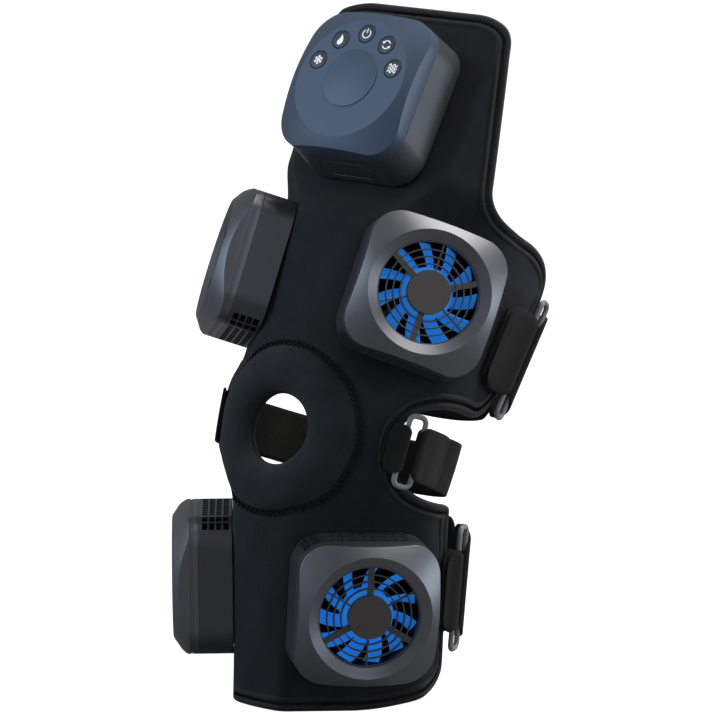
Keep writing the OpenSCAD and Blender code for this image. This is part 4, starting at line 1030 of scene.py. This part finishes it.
def faceForm(inset):
    straight = box["seam"] + box["flareRun"]
    spread = box["flare"] * (straight - box["seam"]) / straight
    low, high = (box["seam"] - 1 if inset else box["seam"]), box["depth"] - inset
    rim = box["depth"] + face["slope"] * face["flat"] - inset
    block = roundedBlock(box["width"] - 2 * inset, box["height"] + spread - 2 * inset,
                         box["corner"] - inset, low, high, -spread / 2)
    return underCone(block, low, rim, face["slope"], face["tipCut"])


def buttonSpot(i):
    a = math.radians(90 + (2 - i) * face["step"])
    return face["ring"] * math.cos(a), face["ring"] * math.sin(a)


def makeFace():
    obj = softenEdges(faceForm(0), face["crest"], 4, 30)
    obj = combine(obj, faceForm(face["wall"]), "DIFFERENCE")
    disc = cylinder(box["depth"] - 1, box["depth"] + face["discRise"], face["disc"], face["discSides"])
    obj = combine(obj, softenEdges(disc, face["discSoft"]), "UNION")
    for i in range(len(buttons)):
        hole = cylinder(*face["hole"], face["buttonRadius"] + face["buttonGap"], face["buttonSides"])
        x, y = buttonSpot(i)
        hole.data.transform(shift(x * mm, y * mm, 0))
        obj = combine(obj, hole, "DIFFERENCE")
    finishPiece(obj, "boxFaceShell", "face", "device", boxFrame, "control_front_shell", 24)


makeFace()
print("face made")

# ---- buttons with raised white signs ----
sign = {"width": 0.58, "rise": 0.08, "sink": 0.1, "size": 2.8, "branchAt": 0.55, "branchSize": 0.36,
        "branchAngle": 48, "flameHalf": 0.62, "flameWidest": -0.35, "powerArc": 0.92, "turnArc": 0.85,
        "barb": 0.5, "waveSize": 0.28, "waveGap": 0.65}


def stroke(points, width, low, high):
    p = np.asarray(points, float)
    t = np.gradient(p, axis=0)
    t /= np.maximum(1e-9, np.linalg.norm(t, axis=1))[:, None]
    n = np.stack([-t[:, 1], t[:, 0]], 1) * width / 2
    a, b = p + n, p - n
    verts, count = [], len(p)
    for z in (low, high):
        verts += [(x, y, z) for x, y in a] + [(x, y, z) for x, y in b]
    faces = []
    for i in range(count - 1):
        j, k = i + count, i + 2 * count
        m = i + 3 * count
        faces += [(k, m, m + 1, k + 1), (i, i + 1, j + 1, j), (i, k, k + 1, i + 1), (j, j + 1, m + 1, m)]
    e = count - 1
    faces += [(0, count, 3 * count, 2 * count), (e, e + 2 * count, e + 3 * count, e + count)]
    return verts, faces


def arc(radius, start, end, steps=24):
    turns = [math.radians(a) for a in np.linspace(start, end, steps)]
    return [(radius * math.cos(a), radius * math.sin(a)) for a in turns]


def signStrokes(key):
    r = sign["size"]
    if key == "cold":
        lines = []
        for k in range(6):
            a = math.radians(60 * k + 30)
            c, s = math.cos(a), math.sin(a)
            lines.append([(0.1 * c, 0.1 * s), (r * c, r * s)])
            for side in (-1, 1):
                b = a + side * math.radians(sign["branchAngle"])
                base = (r * sign["branchAt"] * c, r * sign["branchAt"] * s)
                twig = sign["branchSize"] * r
                lines.append([base, (base[0] + twig * math.cos(b), base[1] + twig * math.sin(b))])
        return lines
    if key == "heat":
        # filled flame: strokes across it, one above the other
        lines = []
        wide, widest = sign["flameHalf"], sign["flameWidest"]
        for y in np.arange(-0.95, 0.96, 0.1):
            above = y - widest
            if y < widest:
                half = wide * math.sqrt(max(0, 1 - (above / wide) ** 2))
            else:
                half = wide * (1 - above / 1.35)
            sway = 0.14 * math.sin(2.6 * (y + 0.3))
            if half > 0.03:
                lines.append([(r * (sway - half), r * y * 1.1), (r * (sway + half), r * y * 1.1)])
        return lines
    if key == "power":
        return [arc(r * sign["powerArc"], 125, 415), [(0, 0.15 * r), (0, 1.15 * r)]]
    if key == "contrast":
        radius, barb = r * sign["turnArc"], sign["barb"] * r
        lines = [arc(radius, 20, 165), arc(radius, 200, 345)]
        for a in (165, 345):
            end = arc(radius, a, a, 1)[0]
            for turn in (-60, -120):
                b = math.radians(a + turn)
                lines.append([end, (end[0] + barb * math.cos(b), end[1] + barb * math.sin(b))])
        return lines
    run, gap = np.linspace(-r, r, 24), sign["waveGap"] * r
    return [[(x, y + sign["waveSize"] * r * math.sin(2.4 * x)) for x in run] for y in (-gap, 0, gap)]


def makeButton(i, key):
    body = nodeBody[key + "_button"]
    x, y = buttonSpot(i)
    obj = cylinder(face["buttonLow"], face["buttonTop"], face["buttonRadius"], face["buttonSides"])
    softenEdges(obj, face["buttonSoft"], 4)
    obj.data.transform(shift(x * mm, y * mm, 0))
    finishPiece(obj, key + "ButtonCap", "cap", body, boxFrame, key + "_button")
    verts, faces = [], []
    for line in signStrokes(key):
        v, f = stroke(line, sign["width"], face["buttonTop"] - sign["sink"], face["buttonTop"] + sign["rise"])
        faces += [tuple(k + len(verts) for k in q) for q in f]
        verts += [(px + x, py + y, pz) for px, py, pz in v]
    m = np.array(boxFrame)
    world = np.asarray(verts) @ m[:3, :3].T + m[:3, 3]
    piece = newPiece(key + "Sign", world, faces, "print", body)
    fixNormals(piece)


for i, key in enumerate(buttons):
    makeButton(i, key)
print("buttons made")

# ---- floor, sky and lamps ----
stage = {"floorDrop": 0.004, "floorSize": 12.0, "floorColor": 0.22, "cameraLift": 1.0, "skyLight": 0.27,
         "roughness": 0.9, "lampTarget": (0, 0, 0.05)}
lamps = [("topLamp", (0.55, 0.88, 1.95), 1.5, 50.0, (1.0, 0.93, 0.86)),
         ("frontLamp", (-1.35, -1.6, 0.95), 1.6, 24.0, (0.76, 0.88, 1.0)),
         ("backLamp", (1.8, 1.25, 0.1), 1.0, 16.0, (0.88, 0.94, 1.0)),
         ("sideLamp", (1.9, -0.6, 1.1), 1.3, 4.0, (0.95, 0.97, 1.0))]


def makeStage():
    low = cadBounds[0][2]
    clearSelection()
    bpy.ops.mesh.primitive_plane_add(size=stage["floorSize"], location=(0, 0, low - stage["floorDrop"]))
    floor = bpy.context.object
    floor.name = "studioFloor"
    mat, tree, bsdf = startMaterial("paleFloor")
    bsdf.inputs["Base Color"].default_value = (stage["floorColor"],) * 3 + (1,)
    bsdf.inputs["Roughness"].default_value = stage["roughness"]
    path = addNode(tree, "ShaderNodeLightPath")
    lift = addNode(tree, "ShaderNodeMath", operation="MULTIPLY")
    lift.inputs[1].default_value = stage["cameraLift"]
    tree.links.new(path.outputs["Is Camera Ray"], lift.inputs[0])
    bsdf.inputs["Emission Color"].default_value = (1, 1, 1, 1)
    tree.links.new(lift.outputs["Value"], bsdf.inputs["Emission Strength"])
    floor.data.materials.append(mat)
    world = bpy.data.worlds.new("studio")
    bpy.context.scene.world = world
    world.use_nodes = True
    tree = world.node_tree
    back = tree.nodes["Background"]
    path = addNode(tree, "ShaderNodeLightPath")
    both = addNode(tree, "ShaderNodeMath", operation="MAXIMUM")
    tree.links.new(path.outputs["Is Camera Ray"], both.inputs[0])
    tree.links.new(path.outputs["Is Transmission Ray"], both.inputs[1])
    power = addNode(tree, "ShaderNodeMapRange", To_Min=stage["skyLight"], To_Max=1.0)
    tree.links.new(both.outputs["Value"], power.inputs["Value"])
    tree.links.new(power.outputs["Result"], back.inputs["Strength"])
    back.inputs["Color"].default_value = (1, 1, 1, 1)
    for name, place, size, watts, tint in lamps:
        data = bpy.data.lights.new(name, "AREA")
        data.size = size
        data.energy = watts
        data.color = tint
        lamp = bpy.data.objects.new(name, data)
        bpy.context.scene.collection.objects.link(lamp)
        lamp.location = place
        aim = Vector(stage["lampTarget"]) - Vector(place)
        lamp.rotation_euler = aim.to_track_quat("-Z", "Y").to_euler()


makeStage()
bpy.context.scene.view_settings.view_transform = "Standard"
print("stage made")
